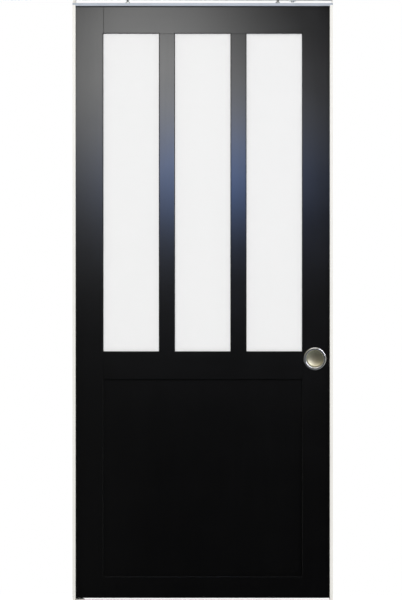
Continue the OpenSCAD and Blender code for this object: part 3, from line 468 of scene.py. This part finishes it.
def zinc_plate(name):
    """Bright zinc plate: a faint blue and straw cast over a fine spangle."""
    make = Recipe(name)
    cast = make.noise(scale=90.0, detail=3.0, rough=0.6)
    spangle = make.noise(scale=700.0)
    cool = tuple(c * s for c, s in zip(make.look.zinc, (0.95, 1.0, 1.07)))
    straw = tuple(c * s for c, s in zip(make.look.zinc, (1.06, 1.02, 0.90)))
    make.surface(
        Base_Color=make.tint(make.spread(cast, 0.0, 1.0), cool, straw), Metallic=1.0,
        Roughness=make.spread(spangle, 0.22, 0.36),
        Normal=make.bump(spangle, strength=0.06, distance=0.0001, normal=make.soft_edge(0.0003)))
    return make.material


def moulded_plastic(name, colour, rough):
    """Moulded or turned plastic: a fine spark texture and a slow cloud of gloss."""
    make = Recipe(name)
    spark = make.noise(scale=1600.0)
    cloud = make.noise(scale=25.0)
    make.surface(
        Base_Color=make.mottled(cloud, colour, 0.93, 1.06),
        Roughness=make.spread(cloud, rough - 0.05, rough + 0.05), IOR=1.52,
        Normal=make.bump(spark, strength=0.12, distance=0.00012, normal=make.soft_edge(0.0004)))
    return make.material


def woven_pile(name):
    """Pile yarn: strands mottled lighter and darker at random, as painted highlights and painted shade among
    them.
    """
    make = Recipe(name)
    strand_and_shade = make.noise(scale=900.0, detail=3.0, rough=0.6)
    make.surface(
        # Painted highlight and painted shade: the strand noise lightens and darkens the pile's colour.
        Base_Color=make.mottled(strand_and_shade, make.look.pile, 0.6, 1.5),
        Roughness=make.spread(strand_and_shade, 0.75, 0.95), Sheen_Weight=0.3,
        Normal=make.bump(strand_and_shade, strength=0.3, distance=0.0003))
    return make.material


def drawn_rubber(name):
    """Extruded rubber: matt, with a slight bloom."""
    make = Recipe(name)
    bloom = make.noise(scale=40.0, detail=4.0, rough=0.6)
    line = make.noise(scale=1500.0)
    make.surface(
        Base_Color=make.mottled(bloom, make.look.rubber, 0.8, 1.8),
        Roughness=make.spread(bloom, 0.55, 0.75), Normal=make.bump(line, strength=0.1, distance=0.0001))
    return make.material


def bare_beech(name):
    """Bare beech: long grain along the dowel with small dark flecks."""
    make = Recipe(name)
    grain = make.noise(scale=1.0, detail=5.0, rough=0.6, place=make.mapped((60.0, 900.0, 900.0)))
    make.surface(
        Base_Color=make.mottled(grain, make.look.timber, 0.8, 1.15),
        Roughness=make.spread(grain, 0.55, 0.7), Normal=make.bump(grain, strength=0.15, distance=0.0002))
    return make.material


# Shapes of this door's own pieces

def cup_profile(reach, detail):
    """Radius and height of a pull's section: bowl, fillet, wall, domed flange, then the back to the axis.

    The bowl rises by the square of its share of radius and runs smoothly into the fillet. The flange is half
    an ellipse from the mouth to the reach. The back lies one wall below the bowl and the fillet.
    """
    mouth, depth, fillet, wall = detail.dish_mouth, detail.dish_depth, detail.dish_fillet, detail.dish_wall
    inner, back = mouth - fillet, fillet + wall
    tilt = math.atan(2.0 * detail.dish_sag / inner)
    bowl_r = inner + fillet * math.sin(tilt)
    bowl_rise = math.tan(tilt) * bowl_r / 2.0
    centre = bowl_rise + fillet * math.cos(tilt) - depth
    back_r = inner + back * math.sin(tilt)
    back_rise = centre - back * math.cos(tilt) + depth + wall
    share = np.linspace(0.0, 1.0, 25)
    turn = np.linspace(tilt, math.pi / 2.0, 13)
    arch = np.linspace(math.pi, 0.0, 25)
    parts = [
        (bowl_r * share[:-1], bowl_rise * share[:-1] ** 2 - depth),
        (inner + fillet * np.sin(turn), centre - fillet * np.cos(turn)),
        ((mouth + reach) / 2.0 + (reach - mouth) / 2.0 * np.cos(arch), detail.flange_rise * np.sin(arch)),
        (np.array([mouth + wall]), np.zeros(1)),
        (inner + back * np.sin(turn[::-1]), centre - back * np.cos(turn[::-1])),
        (back_r * share[-2::-4], back_rise * share[-2::-4] ** 2 - depth - wall),
        (np.zeros(1), np.array([-depth - wall])),
    ]
    return np.concatenate([p[0] for p in parts]), np.concatenate([p[1] for p in parts])


def cross_recess(radius, angle, arm, width):
    """Share of depth of a cross recess: full along two crossed arms, sloping to nothing at their edges.

    It falls with the distance from the nearer arm's line and with the distance along that arm.
    """
    side_reach, side_slope = 1.4 * width, 0.5 * width
    end_reach, end_slope = 1.15 * arm, 0.3 * arm
    x, y = np.abs(radius * np.cos(angle)), np.abs(radius * np.sin(angle))
    near, far = np.minimum(x, y), np.maximum(x, y)
    return np.clip((side_reach - near) / side_slope, 0, 1) * np.clip((end_reach - far) / end_slope, 0, 1)


def cross_screw(top_r, crown, arm, width, rest_r, rest_h, recess, around=48):
    """A screw along z: the top of its head with a cross recess, then the rest of its outline to the tip.

    The top's radius and crown go ring by ring from the axis, and the recess is cut into the crown.
    """
    angle = angles(around)
    top_r, rest_r, rest_h = (np.repeat(np.array(v)[:, None], around, 1) for v in (top_r, rest_r, rest_h))
    top_h = crown[:, None] - recess * cross_recess(top_r, angle, arm, width)
    return turned(np.concatenate([top_r, rest_r]), np.concatenate([top_h, rest_h]), around)


def sunk_screw(shank_r, length, recess):
    """A countersunk screw with its head's rim at zero: flat top, cone, shank and tip."""
    head_r = HEAD_SHARE * shank_r
    rest_r = [shank_r, shank_r, 0.55 * shank_r, 0.0]
    rest_h = [shank_r - head_r, 2.0 * shank_r - length, shank_r - length, -length]
    top_r, flat = head_r * HEAD_RINGS, 0.0 * HEAD_RINGS
    return cross_screw(top_r, flat, 0.62 * head_r, 0.13 * head_r, rest_r, rest_h, recess)


def pan_screw(shank_r, head_h, length, recess):
    """A pan head screw with its head's seat at zero: domed top, skirt, seat, shank and tip."""
    head_r = HEAD_SHARE * shank_r
    rest_r = [head_r, head_r, shank_r, shank_r, 0.0]
    rest_h = [0.4 * head_h, 0.0, 0.0, shank_r - length, -length]
    top_r, dome = 0.97 * head_r * HEAD_RINGS, head_h * (1.0 - 0.45 * HEAD_RINGS ** 3)
    return cross_screw(top_r, dome, 0.6 * head_r, 0.13 * head_r, rest_r, rest_h, recess)


def hexagon(flats, around=48):
    """Distance from the axis to a hexagon's side at each angle, a corner at angle zero."""
    angle = angles(around)
    return flats / 2.0 / np.cos(np.mod(angle, math.pi / 3.0) - math.pi / 6.0)


def hanger_bolt(flats, total, pitch, depth, around=48):
    """A hanger bolt along z: bevelled hexagon head, then a shank whose radius winds by a triangle wave.

    The wave runs once round per pitch of height, so its crest is one helix.
    """
    six = hexagon(flats, around)
    ring = np.full(around, 0.95 * flats / 2.0)
    crest = np.full(around, BOLT_R - BOLT_SLACK)
    angle = angles(around)
    rows = np.arange(BOLT_HEAD_H + pitch, total - pitch, pitch / 8.0)
    wave = np.abs(2.0 * np.mod(rows[:, None] / pitch - angle / (2.0 * math.pi), 1.0) - 1.0)
    head_r = np.stack([0 * ring, ring, six, six, ring, crest])
    head_z = np.array([0.0, 0.0, BOLT_BEVEL, BOLT_HEAD_H - BOLT_BEVEL, BOLT_HEAD_H, BOLT_HEAD_H])
    end_r = np.stack([np.full(around, BOLT_R - depth), np.full(around, BOLT_R - 1.6 * depth), 0 * ring])
    end_z = np.array([total - 0.8 * pitch, total, total])
    radius = np.concatenate([head_r, crest - depth * wave, end_r])
    return turned(radius, np.concatenate([head_z, rows, end_z]), around)


def lock_nut(flats, tall, around=48):
    """A lock nut along z from zero: bevelled hexagon below and a rounded collar above, round a plain bore."""
    six = hexagon(flats, around)
    ring = np.full(around, flats / 2.0)
    bore = np.full(around, NUT_BORE_R)
    collar = [share * ring for share in (0.95, 0.92, 0.84, 0.7)]
    radius = np.stack([bore, 0.94 * ring, six, six, *collar, bore])
    height = tall * np.array([0.0, 0.0, 0.09, 0.66, 0.74, 0.80, 0.95, 1.0, 1.0])
    return turned(radius, height, around, hollow=True)


def brush_seal(low, high, along, tip_side, rows, pitch, lean, seed):
    """Backing strip and rows of tapered tufts, each leaning a little at its tip.

    Worked out with the run along x, the width along y and the pile along z, then turned into place.
    """
    across = ({0, 1, 2} - {along, 1}).pop()
    run, width, tall = (high - low)[[along, across, 1]]
    strip = blocks([0.0, 0.0, 0.0], [run, width, STRIP_T])
    rng = np.random.default_rng(seed)
    places = np.arange(0.5 * pitch, run - 0.4 * pitch, pitch)
    lanes = width / 2.0 + LANE_PITCH * (np.arange(rows) - (rows - 1) / 2.0)
    x, y = (g.ravel() for g in np.meshgrid(places, lanes))
    tip = tall - rng.uniform(0.0, TUFT_UNEVEN, len(x))
    dx, dy = rng.uniform(-lean, lean, (2, len(x)))
    root_x, tip_x = 0.46 * pitch, 0.40 * pitch
    low_end = np.maximum(x + dx - tip_x, 0.0)
    high_end = np.minimum(x + dx + tip_x, run)
    tufts = blocks(np.column_stack([x - root_x, y - TUFT_ROOT_Y, np.full(len(x), 0.5 * STRIP_T)]),
                   np.column_stack([x + root_x, y + TUFT_ROOT_Y, tip]),
                   np.column_stack([low_end, y + dy - TUFT_TIP_Y, tip]),
                   np.column_stack([high_end, y + dy + TUFT_TIP_Y, tip]))
    points, quads, tris = joined([strip, tufts])
    out = np.zeros_like(points)
    out[:, along] = low[along] + points[:, 0]
    out[:, across] = low[across] + points[:, 1]
    out[:, 1] = low[1] + points[:, 2] if tip_side > 0 else high[1] - points[:, 2]
    turn = np.linalg.det(np.stack([np.eye(3)[along], np.eye(3)[across], tip_side * Y_AXIS]))
    return (out, quads, tris) if turn > 0 else (out, quads[:, ::-1], tris)


def ribbed_strip(low, high, ribs=4, root_share=0.45):
    """Outline in x and y of the closing seal: a flat back, and a face that swells into ribs towards the leaf.

    A rib is half a sine wave that stands on the root's share of the depth.
    """
    depth, width = high[0] - low[0], high[1] - low[1]
    share = np.linspace(0.0, 1.0, 49)
    rib = depth * (root_share + (1.0 - root_share) * np.abs(np.sin(ribs * math.pi * share)))
    face = np.column_stack([high[0] - rib, low[1] + width * share])
    return np.concatenate([face, [[high[0], high[1]], [high[0], low[1]]]])


def rubber_buffer(radius, length, around=64):
    """A buffer along z from its seat at zero: two waists cut into a bar, and a domed nose.

    The waists are the upper halves of a sine wave, and the nose is a rounded quarter with a flat tip.
    """
    waist_depth, waist_end, nose_start, nose_power, tip_share = 0.07, 0.72, 0.75, 2.6, 0.45
    share = np.linspace(0.0, 1.0, 41)
    along = np.clip(share / waist_end, 0, 1)
    waist = waist_depth * np.clip(np.sin(4.0 * math.pi * along - math.pi / 2.0), 0, 1)
    past = np.clip((share - nose_start) / (1.0 - nose_start), 0, 1)
    nose = np.sqrt(np.clip(1.0 - past ** nose_power, 0, 1))
    rings = radius * (1.0 - waist) * (tip_share + (1.0 - tip_share) * nose)
    radius, height = np.concatenate([[0.0], rings, [0.0]]), np.concatenate([[0.0], share, [1.0]])
    return turned(radius, length * height, around)


# Operators

class DOOR_OT_leaf(bpy.types.Operator):
    """Paint the stiles, rails, muntins, lower panel and beads of the leaf."""

    bl_idname = "door.leaf"
    bl_label = "Paint the leaf"

    def execute(self, context):
        dress((*UPRIGHTS, "lower_panel"), satin_paint("satin_black_upright", (260.0, 260.0, 3.5)))
        dress(RAILS, satin_paint("satin_black_level", (3.5, 260.0, 260.0)))
        dress(BEADS, satin_paint("satin_black_bead", (90.0, 90.0, 60.0)))
        dress(DOWELS, bare_beech("bare_beech"))
        return {"FINISHED"}


class DOOR_OT_panes(bpy.types.Operator):
    """Give the panes their etched glass and the tapes their rubber."""

    bl_idname = "door.panes"
    bl_label = "Glaze the leaf"

    def execute(self, context):
        dress(PANES, etched_glass("etched_glass"))
        dress(("glazing_tapes",), drawn_rubber("glazing_rubber"))
        return {"FINISHED"}


class DOOR_OT_pulls(bpy.types.Operator):
    """Turn the two flush cup pulls."""

    bl_idname = "door.pulls"
    bl_label = "Turn the cup pulls"

    def execute(self, context):
        detail = context.scene.door_detail
        for node, side in (("front_pull", -1.0), ("rear_pull", 1.0)):
            low, high = node_box(node)
            centre = (low + high) / 2.0
            face = (low[1] + detail.flange_rise) if side < 0 else (high[1] - detail.flange_rise)
            shape = turned(*cup_profile((high[0] - low[0]) / 2.0, detail), around=160)
            shape = placed(shape, (centre[0], face, centre[2]), X_AXIS, side * Y_AXIS)
            finish = spun_nickel(node + "_nickel", centre)
            make_piece(node + "_cup", shape, LEAF, finish, (node,))
        return {"FINISHED"}


class DOOR_OT_frame(bpy.types.Operator):
    """Coat the jambs, head covers and track, and finish the steel and nylon pieces."""

    bl_idname = "door.frame"
    bl_label = "Finish the frame"

    def execute(self, context):
        look = context.scene.door_finish
        dress(JAMBS, powder_coat("cream_coating", look.cream))
        dress(COVERS, drawn_metal("anodised_cover", look.cover, (3.0, 900.0, 900.0), 0.15, 0.48))
        dress(("head_track", "guide_channel"),
              drawn_metal("anodised_track", look.aluminium, (3.0, 1100.0, 1100.0), 1.0, 0.34))
        dress(STEEL, zinc_plate("zinc_plate"))
        dress(MOULDED, moulded_plastic("black_nylon", look.black_nylon, 0.46))
        dress((*WHEELS, "floor_guide"), moulded_plastic("white_nylon", look.white_nylon, 0.40))
        return {"FINISHED"}


class DOOR_OT_gear(bpy.types.Operator):
    """Thread the hanger bolts and shape their lock nuts."""

    bl_idname = "door.gear"
    bl_label = "Make the hanger bolts"

    def execute(self, context):
        detail = context.scene.door_detail
        finish = zinc_plate("zinc_bolt")
        nuts_low, nuts_high = node_box("hanger_nuts")
        tall, nuts = nuts_high[2] - nuts_low[2], []
        for node in ("left_hanger_bolt", "right_hanger_bolt"):
            low, high = node_box(node)
            centre = (low + high) / 2.0
            across, total = high[1] - low[1], high[2] - low[2]
            shape = hanger_bolt(across, total, detail.thread_pitch, detail.thread_depth)
            shape = placed(shape, (centre[0], centre[1], low[2]), X_AXIS, Z_AXIS)
            make_piece(node + "_threaded", shape, LEAF, finish, (node,), 25.0)
            nut = lock_nut(nuts_high[1] - nuts_low[1], tall)
            nuts.append(placed(nut, (centre[0], centre[1], nuts_low[2]), X_AXIS, Z_AXIS))
        make_piece("lock_nuts", joined(nuts), LEAF, finish, ("hanger_nuts",), 25.0)
        return {"FINISHED"}


class DOOR_OT_screws(bpy.types.Operator):
    """Make the screws with their cross recesses."""

    bl_idname = "door.screws"
    bl_label = "Make the screws"

    def execute(self, context):
        recess = context.scene.door_detail.recess_depth
        finish = zinc_plate("zinc_screw")
        head = HEAD_SHARE * SCREW_R

        def make_screws(name, screws, body, node):
            """The screws of one node as one piece."""
            make_piece(name, joined(screws), body, finish, (node,))

        low, high = node_box("track_end_screws")
        one = sunk_screw(SCREW_R, END_SCREW_L, recess)
        mid_z, port = (low[2] + high[2]) / 2.0, high[1] - head
        ends = [placed(one, (x, side * port, mid_z), Y_AXIS, way * X_AXIS)
                for x, way in ((low[0], -1.0), (high[0], 1.0)) for side in (-1.0, 1.0)]
        make_screws("track_end_cross_screws", ends, SURROUND, "track_end_screws")

        low, high = node_box("cover_screws")
        one = sunk_screw(SCREW_R, high[2] - low[2], recess)
        covers = [placed(one, (x, side * (high[1] - head), high[2]), X_AXIS, Z_AXIS)
                  for x in (low[0] + head, high[0] - head) for side in (-1.0, 1.0)]
        make_screws("cover_cross_screws", covers, SURROUND, "cover_screws")

        low, high = node_box("jamb_tab_screws")
        tall = PAN_SHARE * head
        one = pan_screw(SCREW_R, tall, TAB_SCREW_L, recess)
        middle = (low + high) / 2.0
        tabs = [placed(one, (middle[0], side * (high[1] - tall), middle[2]), X_AXIS, side * Y_AXIS)
                for side in (-1.0, 1.0)]
        make_screws("jamb_tab_pan_screws", tabs, SURROUND, "jamb_tab_screws")

        low, high = node_box("hanger_screws")
        head = HEAD_SHARE * HANGER_SCREW_R
        one = sunk_screw(HANGER_SCREW_R, high[2] - low[2], recess)
        row = high[1] - head
        spots = []
        for node, outermost in (("left_hanger_plate", low[0] + head), ("right_hanger_plate", high[0] - head)):
            middle = sum(node_box(node))[0] / 2.0
            reach = abs(outermost - middle)
            spots += [(middle + i * reach, j * row) for i in (-1.0, 1.0) for j in (-1.0, 1.0)]
        plate = [placed(one, (x, y, high[2]), X_AXIS, Z_AXIS) for x, y in spots]
        make_screws("hanger_cross_screws", plate, LEAF, "hanger_screws")
        return {"FINISHED"}


class DOOR_OT_seals(bpy.types.Operator):
    """Make the brush seals, the ribbed closing seal and the buffers."""

    bl_idname = "door.seals"
    bl_label = "Make the seals"

    def execute(self, context):
        detail = context.scene.door_detail
        pile = woven_pile("seal_pile")
        rubber = drawn_rubber("seal_rubber")
        runs = (("head_seal_front", 0, 1.0), ("head_seal_rear", 0, -1.0),
                ("pocket_seal_front", 2, 1.0), ("pocket_seal_rear", 2, -1.0))
        for seed, (node, along, tip_side) in enumerate(runs):
            shape = brush_seal(*node_box(node), along, tip_side, detail.tuft_rows, detail.tuft_pitch,
                               detail.tuft_lean, seed)
            make_piece(node + "_brush", shape, SURROUND, pile, (node,))
        low, high = node_box("strike_seal")
        strip = carried(ribbed_strip(low, high), low[2], high[2])
        make_piece("strike_seal_ribbed", strip, SURROUND, rubber, ("strike_seal",), 60.0)
        for node, way in (("stop_buffer_closed", -1.0), ("stop_buffer_open", 1.0)):
            low, high = node_box(node)
            middle = (low + high) / 2.0
            seat = high[0] if way < 0 else low[0]
            shape = rubber_buffer((high[2] - low[2]) / 2.0, high[0] - low[0])
            shape = placed(shape, (seat, middle[1], middle[2]), Y_AXIS, way * X_AXIS)
            make_piece(node + "_nose", shape, SURROUND, rubber, (node,), 60.0)
        return {"FINISHED"}


def softbox(name, centre, size, radiance, colour, aim, roll=0.0):
    """A lamp with an even face, rolled about its aim: its power is the radiance times pi times its area."""
    data = bpy.data.lights.new(name, "AREA")
    data.shape = "RECTANGLE"
    data.size, data.size_y = size
    data.energy = radiance * math.pi * size[0] * size[1]
    data.color = colour
    lamp = bpy.data.objects.new(name, data)
    lamp.location = centre
    lamp.rotation_mode = "QUATERNION"
    turn = (Vector(aim) - Vector(centre)).to_track_quat("-Z", "Y")
    lamp.rotation_quaternion = turn @ Quaternion((0.0, 0.0, 1.0), math.radians(roll))
    lamp.visible_camera = False
    lamp.visible_transmission = False
    bpy.context.scene.collection.objects.link(lamp)
    return lamp


def light_panel(name, y, glows):
    """An upright sheet of light that faces the door and has no edge.

    Each glow falls off from its middle by a bell curve, the exponential of minus half the squared share of
    its width.
    """
    left, right, foot, head = -2.0, 2.6, -0.3, 4.2
    corners = [(left, y, foot), (right, y, foot), (right, y, head), (left, y, head)]
    mesh = bpy.data.meshes.new(name)
    mesh.from_pydata(corners, [], [[3, 2, 1, 0] if y < 0 else [0, 1, 2, 3]])
    make = Recipe(name)
    lit = make.node("BsdfTransparent").outputs[0]
    behind = make.node("NewGeometry").outputs["Backfacing"]
    for (x, z), (wide, tall), strength, colour in glows:
        spot = make.mapped((1.0 / wide, 0.0, 1.0 / tall), (x, y, z))
        share = make.vector("DOT_PRODUCT", spot, spot, output="Value")
        bell = make.math("EXPONENT", make.math("MULTIPLY", share, -0.5))
        power = make.product(bell, make.spread(behind, strength, 0.0, 0.0, 1.0))
        glow = make.node("Emission", {"Color": (*colour, 1.0), "Strength": power}).outputs[0]
        lit = make.node("AddShader", {0: lit, 1: glow}).outputs[0]
    make.put(make.tree.nodes["Material Output"].inputs["Surface"], lit)
    mesh.materials.append(make.material)
    panel = bpy.data.objects.new(name, mesh)
    panel.visible_camera = panel.visible_transmission = panel.visible_diffuse = panel.visible_shadow = False
    bpy.context.scene.collection.objects.link(panel)
    return panel


def link_light(source, pieces, state):
    """Makes a light's source leave out some pieces, with EXCLUDE, or light them alone, with INCLUDE."""
    linked = bpy.data.collections.new(source.name + "_linked")
    for piece in pieces:
        linked.objects.link(piece)
    source.light_linking.receiver_collection = linked
    for item in linked.collection_objects:
        item.light_linking.link_state = state


class DOOR_OT_studio(bpy.types.Operator):
    """Lay the floor, light the room and set up the camera."""

    bl_idname = "door.studio"
    bl_label = "Set up the studio"

    def execute(self, context):
        self.floor(context.scene.door_studio)
        self.room(context.scene, context.scene.door_studio)
        self.lamps(context.scene.door_studio)
        self.camera(context.scene, context.scene.door_studio)
        return {"FINISHED"}

    def floor(self, studio):
        """A pale oval floor under the door, near white to the eye.

        It thins out to nothing towards its rim, and isn't seen from below or in reflections.
        """
        around, reach, deep, drop = 96, 1.5, 0.32, 0.0002
        whole_share, gone_share, own_glow = 0.15, 0.95, 0.45
        angle = angles(around)
        rim = np.column_stack([reach * np.cos(angle), deep * np.sin(angle), np.full(around, -drop)])
        mesh = bpy.data.meshes.new("studio_floor")
        mesh.from_pydata(rim.tolist(), [], [list(range(around))])
        make = Recipe("studio_floor")
        far = make.vector("LENGTH", make.mapped((1.0 / reach, 1.0 / deep, 0.0)), output="Value")
        dust = make.noise(scale=35.0, detail=3.0, rough=0.6)
        seen = make.node("LightPath").outputs["Is Camera Ray"]
        below = make.node("NewGeometry").outputs["Backfacing"]
        thin = make.spread(far, 1.0, 0.0, whole_share, gone_share)
        make.surface(
            Base_Color=make.tint(dust, shaded(studio.floor, 0.99), shaded(studio.floor, 1.01)), Roughness=0.9,
            Specular_IOR_Level=0.0, Alpha=make.product(thin, make.spread(below, 1.0, 0.0, 0.0, 1.0)),
            Emission_Color=(*WHITE, 1.0), Emission_Strength=make.spread(seen, 0.0, own_glow, 0.0, 1.0))
        mesh.materials.append(make.material)
        floor = bpy.data.objects.new("studio_floor", mesh)
        floor.visible_glossy = False
        bpy.context.scene.collection.objects.link(floor)

    def room(self, scene, studio):
        """White to the eye and through glass, even in its light on the door, and dimmer in reflections.

        In reflections it is paler at the right and above, warm above the horizon, and dark straight ahead and
        square to the door's sides, top and foot, so that black paint stays black.
        """
        world = bpy.data.worlds.new("studio_room")
        scene.world = world
        world.use_nodes = True
        world.cycles.sampling_method = "NONE"
        world.node_tree.nodes.clear()
        make = Nodes(world.node_tree)

        def sky(colour, strength):
            """A background of one colour."""
            return make.node("Background", {"Color": (*colour, 1.0), "Strength": strength}).outputs[0]

        way = make.node("SeparateXYZ", {0: make.node("TexCoord").outputs["Generated"]}).outputs
        ahead = make.spread(way["Y"], 0.02, 1.0, -0.975, -0.85, "SMOOTHERSTEP")
        above = make.spread(way["Z"], 0.25, 0.45, -0.2, 0.9)
        right = make.spread(way["X"], 0.25, 1.0, -0.6, 0.6)
        squarest = make.math("MAXIMUM", make.math("ABSOLUTE", way["X"]), make.math("ABSOLUTE", way["Z"]))
        square = make.spread(squarest, 1.0, 0.05, 0.9, 0.98, "SMOOTHERSTEP")
        cool = sky((0.78, 0.95, 1.05), make.product(ahead, above, right, square))
        warm = sky((1.0, 0.86, 0.5), make.product(make.spread(way["Z"], 0.0, 0.26, 0.05, 0.4), square))
        mirrored = make.node("AddShader", {0: warm, 1: cool}).outputs[0]
        path = make.node("LightPath").outputs
        even = sky(WHITE, studio.ambient)
        lit = make.node("MixShader", {0: path["Is Glossy Ray"], 1: even, 2: mirrored}).outputs[0]
        seen = make.math("MAXIMUM", path["Is Camera Ray"], path["Is Transmission Ray"])
        whole = make.node("MixShader", {0: seen, 1: lit, 2: sky(WHITE, 1.0)}).outputs[0]
        make.node("OutputWorld", {"Surface": whole})

    def lamps(self, studio):
        """Light panels before and behind the door, lamps upper right and overhead, and one for the pulls."""
        eye_x, eye_z, strong = studio.camera_x, studio.camera_z, studio.panel_strength
        grow = 1.0 + studio.panel_distance / studio.camera_distance

        def shown(x, z, wide, tall, strength, colour=WHITE):
            """A glow on the front panel that shows at a spot on the leaf, as the camera sees it mirrored."""
            spot = (eye_x + (x - eye_x) * grow, eye_z + (z - eye_z) * grow)
            return spot, (wide * grow, tall * grow), strength, colour

        front = light_panel("front_light_panel", -studio.panel_distance, (
            shown(x=0.191, z=1.892, wide=0.246, tall=0.284, strength=strong, colour=(1.0, 1.0, 0.99)),
            shown(x=0.532, z=1.674, wide=0.181, tall=0.169, strength=0.32 * strong),
            shown(x=0.397, z=1.241, wide=0.800, tall=0.320, strength=0.0195 * strong),
            shown(x=-0.020, z=0.300, wide=0.100, tall=0.450, strength=0.0075 * strong,
                  colour=(1.0, 1.0, 0.97)),
            shown(x=0.415, z=1.517, wide=0.180, tall=0.107, strength=studio.cool_strength,
                  colour=(0.02, 0.27, 1.0))))
        pulls = [bpy.data.objects[name] for name in ("front_pull_cup", "rear_pull_cup")]
        link_light(front, [pulls[0], *(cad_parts[name] for name in PANES)], "EXCLUDE")
        rear_glow = ((-0.1, 1.9), (0.5, 0.5), 3.0, (1.0, 0.99, 0.97))
        light_panel("rear_light_panel", studio.panel_distance, (rear_glow,))
        pull = sum(node_box("front_pull")) / 2.0
        lamp = softbox("softbox_pulls", centre=(0.62, -2.6, 2.36), size=(1.1, 1.2), radiance=1.5,
                       colour=(0.98, 0.95, 1.0), aim=(pull[0], 0.0, pull[2]))
        link_light(lamp, pulls, "INCLUDE")
        softbox("softbox_upper_right", centre=(1.87, -3.0, 1.75), size=(1.29, 0.45), radiance=7.5,
                colour=(0.84, 0.84, 1.0), aim=(0.8, 0.0, 0.9), roll=130.0)
        overhead = softbox("softbox_overhead", centre=(0.2, -0.3, 4.2), size=(2.6, 1.6), radiance=1.2,
                           colour=WHITE, aim=(0.2, 0.0, 0.0))
        overhead.visible_glossy = False

    def camera(self, scene, studio):
        """Straight on: the lens takes in the view height on the sensor's long side at the leaf's face."""
        data = bpy.data.cameras.new("front_camera")
        data.sensor_width = 36.0
        data.lens = data.sensor_width * studio.camera_distance / studio.view_height
        data.clip_end = 100.0
        camera = bpy.data.objects.new("front_camera", data)
        face = node_box("left_stile")[0][1]
        camera.location = (studio.camera_x, face - studio.camera_distance, studio.camera_z)
        camera.rotation_euler = (math.radians(90.0), 0.0, 0.0)
        scene.collection.objects.link(camera)
        scene.camera = camera
        scene.view_settings.view_transform = "Standard"


STEPS = (DOOR_OT_leaf, DOOR_OT_panes, DOOR_OT_pulls, DOOR_OT_frame, DOOR_OT_gear, DOOR_OT_screws,
         DOOR_OT_seals, DOOR_OT_studio)


class DOOR_PT_sidebar(bpy.types.Panel):
    """Lists the door's steps and settings."""

    bl_idname = "DOOR_PT_sidebar"
    bl_label = "Sliding glazed door"
    bl_space_type = "VIEW_3D"
    bl_region_type = "UI"
    bl_category = "Door"

    def draw(self, context):
        for step in STEPS:
            self.layout.operator(step.bl_idname)
        for group in (context.scene.door_finish, context.scene.door_detail, context.scene.door_studio):
            box = self.layout.box()
            for key in type(group).__annotations__:
                box.prop(group, key)


CLASSES = (DoorFinish, DoorDetail, DoorStudio, *STEPS, DOOR_PT_sidebar)


def register():
    for item in CLASSES:
        bpy.utils.register_class(item)
    bpy.types.Scene.door_finish = PointerProperty(type=DoorFinish)
    bpy.types.Scene.door_detail = PointerProperty(type=DoorDetail)
    bpy.types.Scene.door_studio = PointerProperty(type=DoorStudio)


def unregister():
    del bpy.types.Scene.door_finish, bpy.types.Scene.door_detail, bpy.types.Scene.door_studio
    for item in reversed(CLASSES):
        bpy.utils.unregister_class(item)


def main():
    register()
    bpy.ops.door.leaf()
    bpy.ops.door.panes()
    bpy.ops.door.pulls()
    bpy.ops.door.frame()
    bpy.ops.door.gear()
    bpy.ops.door.screws()
    bpy.ops.door.seals()
    bpy.ops.door.studio()


if __name__ == "__main__":
    main()
